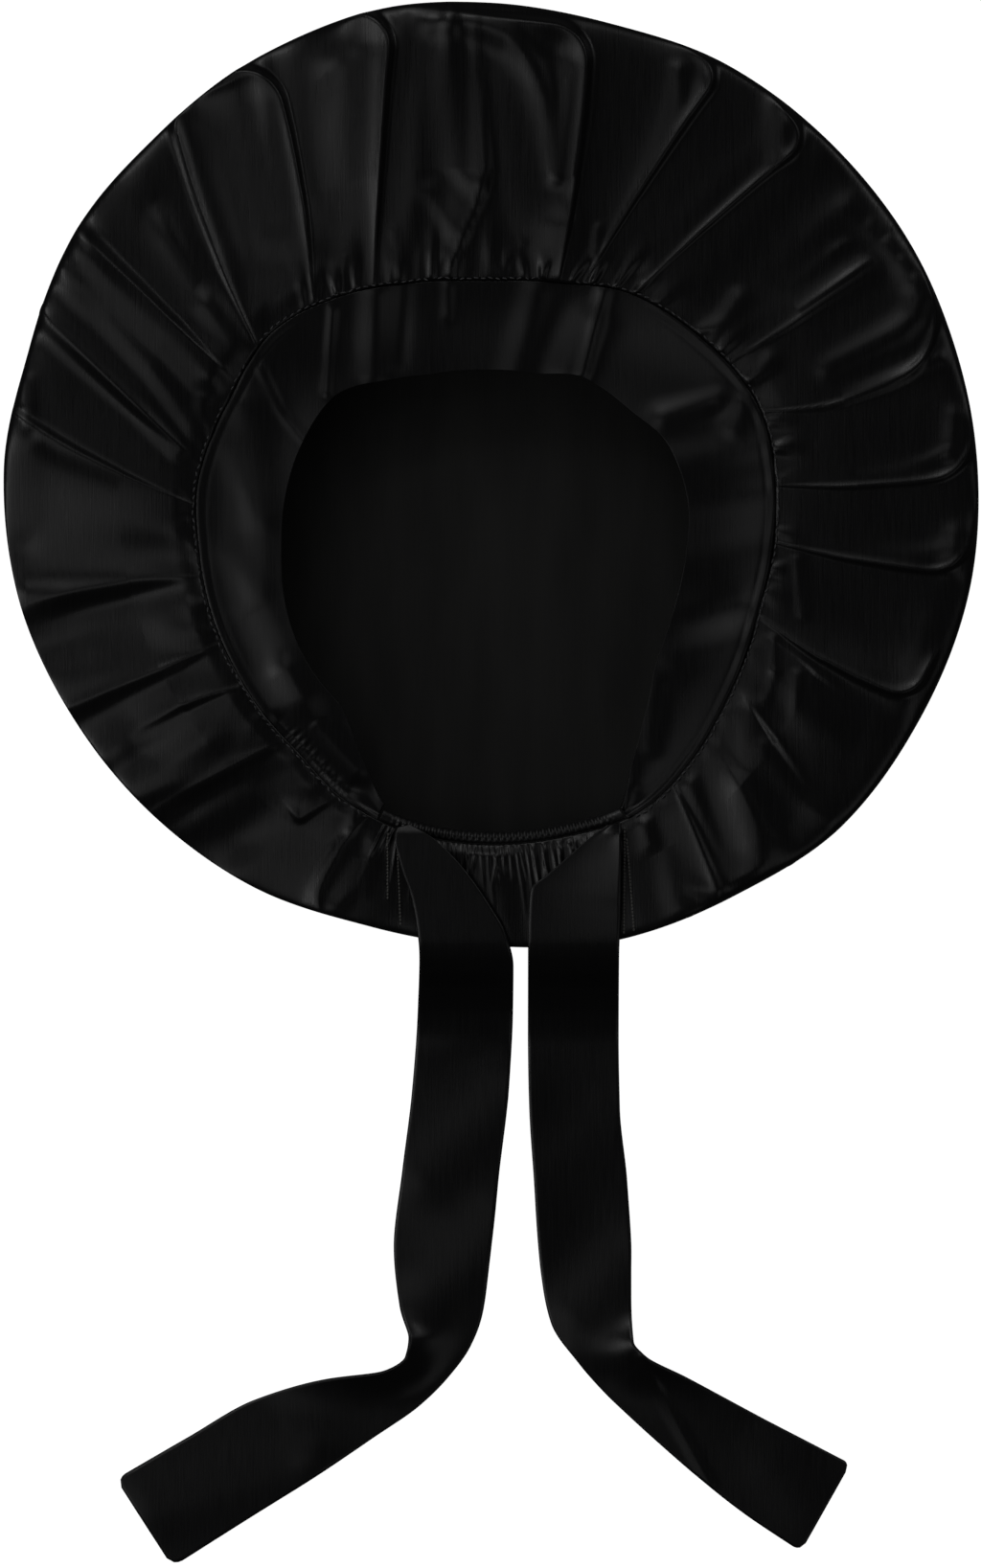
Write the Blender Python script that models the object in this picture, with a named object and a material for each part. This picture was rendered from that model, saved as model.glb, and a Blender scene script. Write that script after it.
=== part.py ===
"""A satin sleep bonnet that lies on its crown with the opening up and its two ties laid out straight.

The bonnet's front is at +Y and its nape at -Y, +X is its right side as it lies, +Z is up. The origin is
on the floor, in the middle of the crown's round outline. All sizes are in metres and angles in degrees,
counted anticlockwise from +X as seen from above.
"""

import math

import bpy
import numpy as np

# Cloth thickness of the single crown, the doubled band and ties, and the air between two pieces.
CROWN_WALL = 0.0012
BAND_WALL = 0.0016
TIE_WALL = 0.0012
PIECE_GAP = 0.00045

# The opening's centre lies towards the nape, off the middle of the crown.
OPENING_X = -0.002
OPENING_Y = -0.028

# Heights over the floor: the seam at the front, how much lower it is at the nape, and the rim's roll.
SEAM_HEIGHT = 0.031
NAPE_DROP = 0.007
NAPE_DROP_HALF_ANGLE = 60.0
NAPE_ANGLE = 270.0
RIM_HEIGHT = 0.017
RIM_UNDERCUT = 0.016
CREST_RISE_PER_RING = 0.045
CREST_LOSS_PER_FALL = 0.2
CREST_PLACE = 0.42

# The rolled rim in cross-section is a quarter of an ellipse, made squarer by this power of its sine and
# cosine. The fall of the ring starts this share of the way out from the seam.
RIM_POWER = 0.45
RING_FALL_START = 0.10

# The band falls inwards, and loses this share of its seen width in height.
BAND_FALL = 0.20
BAND_SAG = 0.0012
BAND_LEFT_END = 248.0
BAND_RIGHT_END = -62.0
NAPE_LEFT_END = 248.5
NAPE_RIGHT_END = 297.5
CASING_WIDTH = 0.0042
CASING_CROWN = 0.0010

# A fold's cross-section: how far its steep and its gentle side reach, as shares of the fold's width.
STEEP_REACH = 0.38
GENTLE_REACH = 0.85
STEEP_POWER = 2.0
GENTLE_POWER = 1.5

# Along the crown a fold is narrow at the seam and wider at the rim, starts this share of the way out,
# and loses most of its height over the fading stretch, which begins before the place in the table.
WIDTH_AT_SEAM = 0.55
WIDTH_AT_RIM = 1.30
FOLD_START = 0.14
FADE_LEAD = 0.20
FADE_LENGTH = 0.35
FADE_LOSS = 0.85

# Along the band a fold reaches its full height this share of the way in from the seam.
BAND_FOLD_START = 0.5
BAND_SEAM_RADIUS = 0.100
BAND_EDGE_RADIUS = 0.070

# How finely the pieces are cut into faces.
COLUMNS_PER_FOLD = 4
RING_ROWS = 10
CREST_TURN = 0.55
UNDER_ROWS = 3
BAND_ROWS = 4
NAPE_COLUMNS = 22
TIE_STEPS_PER_ROW = 2
TIE_COLUMNS = 4

# Outline of the crown: angle about the origin, radius.
RIM = (
    (0, 0.1695), (15, 0.1673), (30, 0.1660), (45, 0.1645), (60, 0.1638), (75, 0.1615),
    (90, 0.1633), (105, 0.1658), (120, 0.1658), (135, 0.1653), (150, 0.1673), (165, 0.1667),
    (180, 0.1700), (195, 0.1707), (210, 0.1693), (225, 0.1682), (240, 0.1670), (255, 0.1642),
    (270, 0.1655), (285, 0.1692), (300, 0.1705), (315, 0.1738), (330, 0.1725), (345, 0.1718),
)

# Seam between crown and band: angle about the opening's centre, radius.
SEAM = (
    (0, 0.0993), (15, 0.1038), (30, 0.1075), (45, 0.1055), (60, 0.1030), (75, 0.0968),
    (90, 0.0941), (105, 0.0967), (120, 0.1022), (135, 0.1065), (150, 0.1035), (165, 0.1030),
    (180, 0.0996), (195, 0.0974), (210, 0.0957), (225, 0.0952), (240, 0.0990), (255, 0.1010),
    (270, 0.1015), (285, 0.1025), (300, 0.1048), (315, 0.1014), (330, 0.0978), (345, 0.0967),
)

# Free inner edge of the band: angle about the opening's centre, radius.
BAND_EDGE = (
    (-62, 0.1010), (-55, 0.0890), (-45, 0.0786), (-30, 0.0696), (-15, 0.0683), (0, 0.0696),
    (15, 0.0725), (30, 0.0735), (45, 0.0703), (60, 0.0695), (75, 0.0643), (90, 0.0633),
    (105, 0.0643), (120, 0.0689), (135, 0.0754), (150, 0.0739), (165, 0.0720), (180, 0.0708),
    (195, 0.0718), (210, 0.0728), (225, 0.0731), (240, 0.0845), (248, 0.0950),
)

# Folds of the crown, from the seam out to the rim: angle at the seam about the opening's centre, angle
# at the rim about the origin, sideways bow at mid length (anticlockwise is positive), height, width,
# steep side (1 is anticlockwise, -1 clockwise), and the share of the way to the rim where it fades.
FOLDS = (
    (13, 0, -0.0025, 0.0040, 0.013, -1, 0.92),
    (27, 16, -0.0078, 0.0036, 0.012, -1, 0.90),
    (39, 30, -0.0047, 0.0032, 0.014, -1, 0.75),
    (60, 46, 0.0010, 0.0038, 0.012, -1, 0.88),
    (70, 60, 0.0010, 0.0037, 0.011, -1, 0.88),
    (76, 79, -0.0020, 0.0040, 0.010, -1, 0.92),
    (83, 89, -0.0124, 0.0036, 0.012, 1, 0.85),
    (99, 95, -0.0151, 0.0032, 0.014, -1, 0.80),
    (113, 102, 0.0006, 0.0040, 0.011, -1, 0.95),
    (119, 110, -0.0026, 0.0021, 0.008, 1, 0.60),
    (125, 118, -0.0029, 0.0042, 0.011, -1, 0.90),
    (138, 132, 0.0025, 0.0036, 0.012, -1, 0.85),
    (147, 150, 0.0000, 0.0028, 0.018, -1, 0.70),
    (163, 160, 0.0007, 0.0028, 0.016, -1, 0.85),
    (171, 173, 0.0022, 0.0032, 0.014, -1, 0.85),
    (185, 196, -0.0031, 0.0036, 0.014, 1, 0.75),
    (199, 209, 0.0000, 0.0036, 0.013, 1, 0.80),
    (209, 217, -0.0048, 0.0029, 0.010, 1, 0.60),
    (223, 225, -0.0012, 0.0032, 0.012, 1, 0.65),
    (239, 237, -0.0016, 0.0024, 0.010, 1, 0.60),
    (246, 248, -0.0031, 0.0021, 0.008, -1, 0.85),
    (255, 258, 0.0000, 0.0014, 0.007, 1, 0.90),
    (270, 270, 0.0000, 0.0013, 0.009, -1, 0.80),
    (283, 279, 0.0000, 0.0014, 0.008, 1, 0.80),
    (297, 286, 0.0000, 0.0016, 0.007, -1, 0.90),
    (309, 298, 0.0004, 0.0032, 0.012, 1, 0.85),
    (321, 306, 0.0000, 0.0029, 0.012, 1, 0.70),
    (332, 314, -0.0018, 0.0036, 0.012, -1, 0.70),
    (342, 324, 0.0060, 0.0027, 0.011, -1, 0.60),
    (347, 332, -0.0036, 0.0036, 0.012, 1, 0.85),
    (362, 348, -0.0018, 0.0040, 0.013, 1, 0.92),
)

# How steeply the ring falls outwards: angle at the rim, slope.
RING_FALL = (
    (0, 0.00), (30, 0.00), (60, 0.02), (80, 0.05), (95, 0.12), (110, 0.16), (130, 0.15), (150, 0.07),
    (170, 0.10), (190, 0.15), (210, 0.18), (235, 0.18), (250, 0.12), (265, 0.05), (290, 0.04),
    (310, 0.08), (330, 0.04),
)

# Folds of the band: angle at the seam, angle at the free edge, height, width, steep side.
BAND_FOLDS = (
    (-5, 8, 0.0012, 0.012, 1),
    (31, 27, 0.0014, 0.012, -1),
    (64, 63, 0.0018, 0.010, 1),
    (113, 124, 0.0018, 0.009, -1),
    (123, 137, 0.0026, 0.008, 1),
    (141, 149, 0.0020, 0.010, -1),
    (190, 196, 0.0014, 0.014, 1),
    (209, 214, 0.0016, 0.010, -1),
)

# Height of the ties' underside along -Y: over the crown's edge, down off its rim and onto the floor.
TIE_FALL = (
    (-0.121, 0.0270), (-0.126, 0.0292), (-0.132, 0.0289), (-0.141, 0.0279), (-0.150, 0.0269),
    (-0.157, 0.0263), (-0.163, 0.0256), (-0.168, 0.0236), (-0.173, 0.0190), (-0.180, 0.0108),
    (-0.189, 0.0040), (-0.199, 0.0006), (-0.208, 0.0000), (-0.400, 0.0000),
)

# Sections of each tie, from the seam to the free end: left edge x and y, right edge x and y, and how
# far each edge is lifted where the strap turns.
TIE_LEFT = (
    (-0.0325, -0.1235, -0.0285, -0.1225, 0.0, 0.0),
    (-0.0333, -0.1287, -0.0220, -0.1260, 0.0, 0.0),
    (-0.0323, -0.1333, -0.0143, -0.1327, 0.0, 0.0),
    (-0.0307, -0.1393, -0.0063, -0.1423, 0.0, 0.0),
    (-0.0280, -0.1470, 0.0000, -0.1517, 0.0, 0.0),
    (-0.0260, -0.1573, 0.0047, -0.1600, 0.0, 0.0),
    (-0.0250, -0.1693, 0.0077, -0.1727, 0.0, 0.0),
    (-0.0257, -0.1893, 0.0075, -0.1893, 0.0, 0.0),
    (-0.0277, -0.2160, 0.0060, -0.2160, 0.0, 0.0),
    (-0.0310, -0.2427, 0.0027, -0.2443, 0.0, 0.0),
    (-0.0340, -0.2693, -0.0003, -0.2727, 0.0, 0.0),
    (-0.0320, -0.2893, -0.0030, -0.2927, 0.0030, 0.0),
    (-0.0283, -0.3010, -0.0073, -0.3043, 0.0090, 0.0),
    (-0.0293, -0.3077, -0.0150, -0.3150, 0.0115, 0.0),
    (-0.0377, -0.3133, -0.0243, -0.3243, 0.0090, 0.0),
    (-0.0587, -0.3160, -0.0410, -0.3360, 0.0030, 0.0),
    (-0.0823, -0.3227, -0.0607, -0.3493, 0.0, 0.0),
    (-0.1060, -0.3360, -0.0837, -0.3637, 0.0, 0.0),
    (-0.1307, -0.3503, -0.1110, -0.3810, 0.0, 0.0),
)
TIE_RIGHT = (
    (0.0405, -0.1230, 0.0445, -0.1220, 0.0010, 0.0026),
    (0.0340, -0.1273, 0.0445, -0.1267, 0.0, 0.0032),
    (0.0263, -0.1340, 0.0447, -0.1337, 0.0, 0.0034),
    (0.0190, -0.1403, 0.0447, -0.1403, 0.0, 0.0034),
    (0.0137, -0.1450, 0.0447, -0.1460, 0.0, 0.0032),
    (0.0130, -0.1527, 0.0447, -0.1533, 0.0, 0.0024),
    (0.0127, -0.1693, 0.0443, -0.1693, 0.0, 0.0012),
    (0.0127, -0.1960, 0.0443, -0.1960, 0.0, 0.0),
    (0.0133, -0.2227, 0.0447, -0.2210, 0.0, 0.0),
    (0.0150, -0.2493, 0.0473, -0.2467, 0.0, 0.0),
    (0.0173, -0.2793, 0.0487, -0.2727, 0.0, 0.0),
    (0.0207, -0.2960, 0.0487, -0.2910, 0.0, 0.0020),
    (0.0297, -0.3093, 0.0490, -0.3020, 0.0, 0.0070),
    (0.0390, -0.3200, 0.0545, -0.3085, 0.0, 0.0080),
    (0.0487, -0.3293, 0.0693, -0.3160, 0.0, 0.0040),
    (0.0713, -0.3493, 0.0947, -0.3293, 0.0, 0.0),
    (0.0873, -0.3620, 0.1090, -0.3367, 0.0, 0.0),
    (0.1077, -0.3757, 0.1250, -0.3450, 0.0, 0.0),
)

# Look of each kind of cloth: colour, roughness.
SATIN = ((0.0105, 0.0105, 0.0110), 0.34)
DOUBLED_SATIN = ((0.0100, 0.0100, 0.0105), 0.38)
CASING_SATIN = ((0.0095, 0.0095, 0.0095), 0.45)


def slopes_of(at, value):
    """Slope at each row of a table: none at a peak or a hollow, else the gentler mean of both sides."""
    step = np.diff(value) / np.diff(at)
    before, after = step[:-1], step[1:]
    same_way = before * after > 0
    total = np.where(same_way, before + after, 1.0)
    middle = np.where(same_way, 2.0 * before * after / total, 0.0)
    return np.concatenate([step[:1], middle, step[-1:]])


def smooth(at, value, where):
    """Cubic curve through the rows (at, value), read at where, which never swings past a row."""
    at = np.asarray(at, float)
    value = np.asarray(value, float)
    slope = slopes_of(at, value)
    where = np.asarray(where, float)
    row = np.clip(np.searchsorted(at, where, side="right") - 1, 0, len(at) - 2)
    length = at[row + 1] - at[row]
    s = (where - at[row]) / length
    start = (1 + 2 * s) * (1 - s) ** 2 * value[row] + s * (1 - s) ** 2 * length * slope[row]
    end = s**2 * (3 - 2 * s) * value[row + 1] - s**2 * (1 - s) * length * slope[row + 1]
    return start + end


def smooth_round(table, angle):
    """Reads a table of (angle, value) that closes on itself, at any angle in degrees."""
    at = np.array([row[0] for row in table], float)
    value = np.array([row[1] for row in table], float)
    at = np.concatenate([at - 360, at, at + 360])
    value = np.tile(value, 3)
    return smooth(at, value, np.mod(angle, 360.0))


def ease(share):
    """Smooth step from 0 to 1."""
    share = np.clip(share, 0.0, 1.0)
    return share * share * (3 - 2 * share)


def ridge(away, width):
    """Cross-section of a fold, 1 at its crest: steep where away is positive, gentle where negative."""
    steep = np.exp(-(np.abs(away / (STEEP_REACH * width)) ** STEEP_POWER))
    gentle = np.exp(-(np.abs(away / (GENTLE_REACH * width)) ** GENTLE_POWER))
    return np.where(away > 0, steep, gentle)


def angle_between(angle, other):
    """Signed angle from other to angle, in radians, the short way round."""
    return np.radians(np.mod(angle - other + 180, 360) - 180)


def polar(angle, radius, centre_x=0.0, centre_y=0.0):
    turn = np.radians(angle)
    return centre_x + radius * np.cos(turn), centre_y + radius * np.sin(turn)


def seam_angle_at(rim_angle):
    """Angle on the seam that a thread from this angle on the rim runs to, through the folds' two ends."""
    rim = np.array([fold[1] for fold in FOLDS], float)
    seam = np.array([fold[0] for fold in FOLDS], float)
    rim = np.concatenate([rim - 360, rim, rim + 360])
    seam = np.concatenate([seam - 360, seam, seam + 360])
    return smooth(rim, seam, rim_angle)


def seam_height(seam_angle):
    """Height of the seam, which dips at the nape in a cosine."""
    away = np.abs(np.mod(seam_angle - NAPE_ANGLE + 180, 360) - 180)
    dip = 0.5 + 0.5 * np.cos(np.pi * np.clip(away / NAPE_DROP_HALF_ANGLE, 0, 1))
    return SEAM_HEIGHT - NAPE_DROP * dip


def crown_columns():
    """Rim angles of the crown's columns: each fold's crest, and equal steps from it to the next one."""
    crests = np.array([fold[1] for fold in FOLDS], float)
    following = np.append(crests[1:], crests[0] + 360)
    parts = [
        crests + (following - crests) * step / COLUMNS_PER_FOLD
        for step in range(COLUMNS_PER_FOLD)
    ]
    return np.sort(np.concatenate(parts))


def fold_height(rim_angle, share):
    """Sum of all folds at each rim angle and share of the way from seam to rim.

    A fold is a ridge whose crest follows its bow. It rises gently on one side and falls steeply on the
    other, starts just outside the seam and fades towards the rim.
    """
    total = np.zeros(np.broadcast(rim_angle, share).shape)
    seam_reach = smooth_round(SEAM, seam_angle_at(rim_angle))
    spread = np.gradient(seam_angle_at(rim_angle[:, 0]), rim_angle[:, 0])[:, None]
    arc = (1 - share) * seam_reach * spread + share * smooth_round(RIM, rim_angle)
    growth = WIDTH_AT_SEAM + (WIDTH_AT_RIM - WIDTH_AT_SEAM) * share
    for _, rim_at, bow, height, width, steep, fades in FOLDS:
        away = angle_between(rim_angle, rim_at) * arc - bow * np.sin(np.pi * share)
        fading = FADE_LOSS * ease((share - fades + FADE_LEAD) / FADE_LENGTH)
        along = ease(share / FOLD_START) * (1 - fading)
        total += height * along * ridge(away * steep, width * growth)
    return total


def ring_frame(rim_angle):
    """Seam point and rim point of each column."""
    seam_angle = seam_angle_at(rim_angle)
    seam_x, seam_y = polar(seam_angle, smooth_round(SEAM, seam_angle), OPENING_X, OPENING_Y)
    rim_x, rim_y = polar(rim_angle, smooth_round(RIM, rim_angle))
    return seam_angle, seam_x, seam_y, rim_x, rim_y


def ring_surface(rim_angle, turn):
    """Upper side of the crown. Turn goes from 0 at the rim to 1 at the seam.

    The outer stretch is a squarish quarter of an ellipse up to the crest, and the inner one a parabola
    down to the seam. Both lose height outwards by the ring's fall. The folds lean out at the rim and
    stand upright at the crest.
    """
    seam_angle, seam_x, seam_y, rim_x, rim_y = ring_frame(rim_angle)
    width = np.hypot(rim_x - seam_x, rim_y - seam_y)
    seam_z = seam_height(seam_angle)
    ring_fall = smooth_round(RING_FALL, rim_angle)
    crest_z = seam_z + (CREST_RISE_PER_RING - CREST_LOSS_PER_FALL * ring_fall) * width
    outer = turn < CREST_TURN
    lean = np.clip(turn / CREST_TURN, 0, 1) * math.pi / 2
    inwards = np.clip((turn - CREST_TURN) / (1 - CREST_TURN), 0, 1)
    reach = np.cos(lean) ** RIM_POWER
    rise = np.sin(lean) ** RIM_POWER
    share = np.where(outer, CREST_PLACE + (1 - CREST_PLACE) * reach, CREST_PLACE * (1 - inwards))
    fallen = ring_fall * width * np.clip(share - RING_FALL_START, 0, 1)
    height = np.where(
        outer,
        RIM_HEIGHT + (crest_z - RIM_HEIGHT - fallen) * rise,
        crest_z - (crest_z - seam_z) * inwards**2 - fallen,
    )
    fold = fold_height(rim_angle, share)
    out = np.where(outer, np.cos(lean), 0.0)
    x = seam_x + (rim_x - seam_x) * share + fold * out * (rim_x - seam_x) / width
    y = seam_y + (rim_y - seam_y) * share + fold * out * (rim_y - seam_y) / width
    z = height + fold * np.sqrt(1 - out**2)
    return x, y, z


def under_surface(rim_angle, turn):
    """Quarter of an ellipse under the rim, from the flat bottom (0) out and up to the rim (1)."""
    _, _, _, rim_x, rim_y = ring_frame(rim_angle)
    radius = np.hypot(rim_x, rim_y)
    bend = turn * math.pi / 2
    share = 1 - RIM_UNDERCUT * (1 - np.sin(bend)) / radius
    return rim_x * share, rim_y * share, RIM_HEIGHT * (1 - np.cos(bend)) + 0 * rim_x


def make_material(name, look):
    colour, roughness = look
    material = bpy.data.materials.new(name)
    material.use_nodes = True
    shader = material.node_tree.nodes["Principled BSDF"]
    shader.inputs["Base Color"].default_value = (*colour, 1.0)
    shader.inputs["Roughness"].default_value = roughness
    shader.inputs["Metallic"].default_value = 0.0
    return material


def grid_faces(rows, columns, closed):
    """Quads between neighbouring rows and columns of a grid whose points are counted row by row."""
    last = columns if closed else columns - 1
    row, column = np.meshgrid(np.arange(rows - 1), np.arange(last), indexing="ij")
    following = (column + 1) % columns
    quads = np.stack(
        [
            row * columns + column,
            row * columns + following,
            (row + 1) * columns + following,
            (row + 1) * columns + column,
        ],
        axis=-1,
    )
    return quads.reshape(-1, 4).tolist()


def make_cloth(name, points, faces, look, wall, side):
    """One sheet of cloth as an object. Its wall grows to the side given: 1 along the normals, -1 against."""
    mesh = bpy.data.meshes.new(name)
    mesh.from_pydata(np.asarray(points).tolist(), [], faces)
    mesh.validate()
    mesh.shade_smooth()
    mesh.materials.append(make_material(name + "_cloth", look))
    cloth = bpy.data.objects.new(name, mesh)
    bpy.context.scene.collection.objects.link(cloth)
    solidify = cloth.modifiers.new("wall", "SOLIDIFY")
    solidify.thickness = wall
    solidify.offset = side
    solidify.use_rim = True
    return cloth


def make_crown():
    """Flat bottom, rolled rim and folded upper side in one sheet, open at the seam."""
    columns = crown_columns()
    angle = columns[:, None]
    count = len(columns)
    under = np.linspace(0, 1, UNDER_ROWS + 1)[None, :]
    over = np.linspace(0, 1, RING_ROWS + 1)[None, 1:]
    under_x, under_y, under_z = under_surface(angle, under)
    over_x, over_y, over_z = ring_surface(angle, over)
    x = np.hstack([under_x, over_x])
    y = np.hstack([under_y, over_y])
    z = np.hstack([under_z, over_z])
    middle = np.array([[0.0, 0.0, 0.0]])
    inner = np.stack([x[:, 0] * 0.5, y[:, 0] * 0.5, np.zeros(count)], axis=-1)
    walls = np.stack([x, y, z], axis=-1).transpose(1, 0, 2).reshape(-1, 3)
    points = np.concatenate([middle, inner, walls])
    rows = 1 + x.shape[1]
    faces = [[1 + corner for corner in quad[::-1]] for quad in grid_faces(rows, count, True)]
    fan = [[0, 1 + (column + 1) % count, 1 + column] for column in range(count)]
    flipped = [quad[::-1] for quad in faces]
    return make_cloth("crown", points, fan + flipped, SATIN, CROWN_WALL, -1)


def band_fold_height(seam_angle, across):
    """Sum of the band's folds, which run from the seam (across 0) to the free edge (1)."""
    total = np.zeros(np.broadcast(seam_angle, across).shape)
    for seam_at, edge_at, height, width, steep in BAND_FOLDS:
        centre = seam_at + (edge_at - seam_at) * across
        radius = BAND_SEAM_RADIUS + (BAND_EDGE_RADIUS - BAND_SEAM_RADIUS) * across
        away = angle_between(seam_angle, centre) * radius * steep
        total += height * ease(across / BAND_FOLD_START) * ridge(away, width)
    return total


def make_headband():
    """Strip from the seam inwards and down to the free edge, open at the nape."""
    seam_angle = seam_angle_at(crown_columns())
    seam_angle = np.sort(np.mod(seam_angle - NAPE_ANGLE, 360) + NAPE_ANGLE - 360)
    inside = (seam_angle > BAND_RIGHT_END + 1) & (seam_angle < BAND_LEFT_END - 1)
    angle = np.concatenate([[BAND_RIGHT_END], seam_angle[inside], [BAND_LEFT_END]])[:, None]
    across = np.linspace(0, 1, BAND_ROWS + 1)[None, :]
    seam_radius = smooth_round(SEAM, angle) - PIECE_GAP
    edge_at = [row[0] for row in BAND_EDGE]
    edge_radius = smooth(edge_at, [row[1] for row in BAND_EDGE], angle)
    radius = seam_radius + (edge_radius - seam_radius) * across
    x, y = polar(angle, radius, OPENING_X, OPENING_Y)
    fall = BAND_FALL * (seam_radius - radius)
    sag = BAND_SAG * np.sin(np.pi * across)
    z = seam_height(angle) - fall - sag + band_fold_height(angle, across)
    points = np.stack([x, y, z], axis=-1).reshape(-1, 3)
    faces = grid_faces(len(angle), BAND_ROWS + 1, False)
    return make_cloth("headband", points, faces, DOUBLED_SATIN, BAND_WALL, -1)


def make_nape_elastic():
    """Narrow casing with a rounded back, along the crown's edge between the band's two ends."""
    angle = np.linspace(NAPE_LEFT_END, NAPE_RIGHT_END, NAPE_COLUMNS)[:, None]
    across = np.linspace(0, 1, BAND_ROWS + 1)[None, :]
    radius = smooth_round(SEAM, angle) - PIECE_GAP - CASING_WIDTH * across
    x, y = polar(angle, radius, OPENING_X, OPENING_Y)
    z = seam_height(angle) + CASING_CROWN * np.sin(np.pi * across) - BAND_FALL * CASING_WIDTH * across
    points = np.stack([x, y, z], axis=-1).reshape(-1, 3)
    faces = grid_faces(NAPE_COLUMNS, BAND_ROWS + 1, False)
    return make_cloth("nape_elastic", points, faces, CASING_SATIN, BAND_WALL, -1)


def make_tie(name, sections):
    """Flat strap through its sections, laid over the crown's edge and down onto the floor."""
    rows = np.array(sections)
    at = np.arange(len(rows))
    where = np.linspace(0, len(rows) - 1, (len(rows) - 1) * TIE_STEPS_PER_ROW + 1)
    left_x, left_y, right_x, right_y, left_lift, right_lift = (
        smooth(at, rows[:, column], where)[:, None] for column in range(rows.shape[1])
    )
    across = np.linspace(0, 1, TIE_COLUMNS + 1)[None, :]
    x = left_x + (right_x - left_x) * across
    y = left_y + (right_y - left_y) * across
    fall_at = [-row[0] for row in TIE_FALL]
    fall = smooth(fall_at, [row[1] for row in TIE_FALL], -y)
    lift = left_lift * (1 - across) ** 2 + right_lift * across**2
    points = np.stack([x, y, fall + lift], axis=-1).reshape(-1, 3)
    faces = [quad[::-1] for quad in grid_faces(len(where), TIE_COLUMNS + 1, False)]
    return make_cloth(name, points, faces, DOUBLED_SATIN, TIE_WALL, 1)


def clear_scene():
    for item in list(bpy.data.objects):
        bpy.data.objects.remove(item, do_unlink=True)


def main():
    clear_scene()
    make_crown()
    make_headband()
    make_nape_elastic()
    make_tie("tie_left", TIE_LEFT)
    make_tie("tie_right", TIE_RIGHT)


main()
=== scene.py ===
"""A black satin sleep bonnet that lies on its crown with the opening up and its two ties laid out.

All sizes are in metres unless a comment says millimetres. Angles are in degrees, counted anticlockwise
from +X as seen from above. The bonnet's front is at +Y, its nape at -Y. Every piece of cloth is a grid
of points worked out from two parameters, given a wall, and closed round its edges.
"""

import math

import bpy
import numpy as np
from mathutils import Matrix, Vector


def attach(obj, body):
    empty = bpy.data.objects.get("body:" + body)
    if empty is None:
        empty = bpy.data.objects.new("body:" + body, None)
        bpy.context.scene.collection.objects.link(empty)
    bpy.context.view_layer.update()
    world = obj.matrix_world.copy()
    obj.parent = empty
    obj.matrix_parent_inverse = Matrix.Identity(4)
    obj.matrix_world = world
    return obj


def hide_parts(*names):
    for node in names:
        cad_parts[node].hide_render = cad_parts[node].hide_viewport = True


bl_info = {
    "name": "Satin bonnet",
    "version": (1, 0, 0),
    "blender": (4, 5, 0),
    "location": "3D View > Sidebar > Bonnet",
    "description": "Builds a gathered satin bonnet with its band, elastic, ties and stitching",
    "category": "Object",
}

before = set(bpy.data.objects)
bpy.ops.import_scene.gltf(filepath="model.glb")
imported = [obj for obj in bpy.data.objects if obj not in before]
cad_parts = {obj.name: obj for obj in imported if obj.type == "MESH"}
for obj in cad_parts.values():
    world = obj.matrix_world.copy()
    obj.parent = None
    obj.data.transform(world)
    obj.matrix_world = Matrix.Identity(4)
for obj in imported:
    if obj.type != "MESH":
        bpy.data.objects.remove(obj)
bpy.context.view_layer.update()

MM = 0.001

# The opening's centre lies towards the nape, off the middle of the crown.
OPENING = np.array([-0.002, -0.028])
NAPE_ANGLE = 270.0
NAPE_DROP_HALF_ANGLE = 60.0

# Mean radius of the seam, which turns angles into lengths along it.
SEAM_RADIUS = 0.1

# Section of the ring: where its crest lies from the seam (0) to the rim (1), the share of the turn outside
# the crest, how full the outer stretch is, how much that and the crest's height change round the rim,
# and how much of the crest's rise each unit of the ring's fall takes away.
CREST_PLACE = 0.42
CREST_TURN = 0.55
RIM_FULLNESS = 10.0
FULLNESS_CHANGE = 1.8
CREST_CHANGE = 0.0008
CREST_LOSS = 0.2

# The rim stands nearer to the camera than the floor, so it is this much smaller than it looks.
RIM_SCALE = 0.996

# Depth of the soft dents in the cloth under the rim.
SIDE_DENT = 0.003

# Unevenness round the seam or rim: seed of its draws, and from and up to how many waves in a turn.
CREST_WAVES = (21, 5, 13)
FULLNESS_WAVES = (22, 9, 24)
DENT_WAVES = (27, 24, 60)
PUCKER_WAVES = (9, 110, 240)

# Ends of the band and of the elastic casing, as angles about the opening's centre.
BAND_LEFT_END = 248.0
BAND_RIGHT_END = -62.0
NAPE_LEFT_END = 248.5
NAPE_RIGHT_END = 297.5
SEAM_GAP = 0.0003

# Band: its sag at mid width, and lines along the seam as place and width, counted inwards from it.
BAND_SAG = 0.0012
WELT_LINE = (0.0009, 0.0006)
WELT_HEIGHT = 0.0008
DIMPLE_LINE = (0.0024, 0.0007)
DIMPLE_SHARE = 0.35
PUCKER_LINE = (0.0020, 0.0025)
PUCKER_HEIGHT = 0.00025

# Stretches of angles: middle, half length, length of the fade inside each end.
NO_WELT = (92, 42, 8)
PUCKERED = (231, 10, 3)
RIBBED = (273, 24, 6)
NAPE_GATHERED = (268, 28, 6)

# How much of the welt is lost at the lower left, from which angle and over how many degrees.
WELT_LOSS = (0.7, 198, 12)

# Casing of the elastic.
CASING_WIDTH = 0.0042
CASING_RISE = 0.0010
CASING_ROUNDNESS = 0.7
RIB_PITCH = 1.25
RIB_HEIGHT = 0.0007

# Ties: wall, and the rounding of the free ends in sections along and as a share of the width.
TIE_WALL = 0.0009
CORNER_SECTIONS = 0.14
CORNER_SHARE = 0.10

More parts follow.
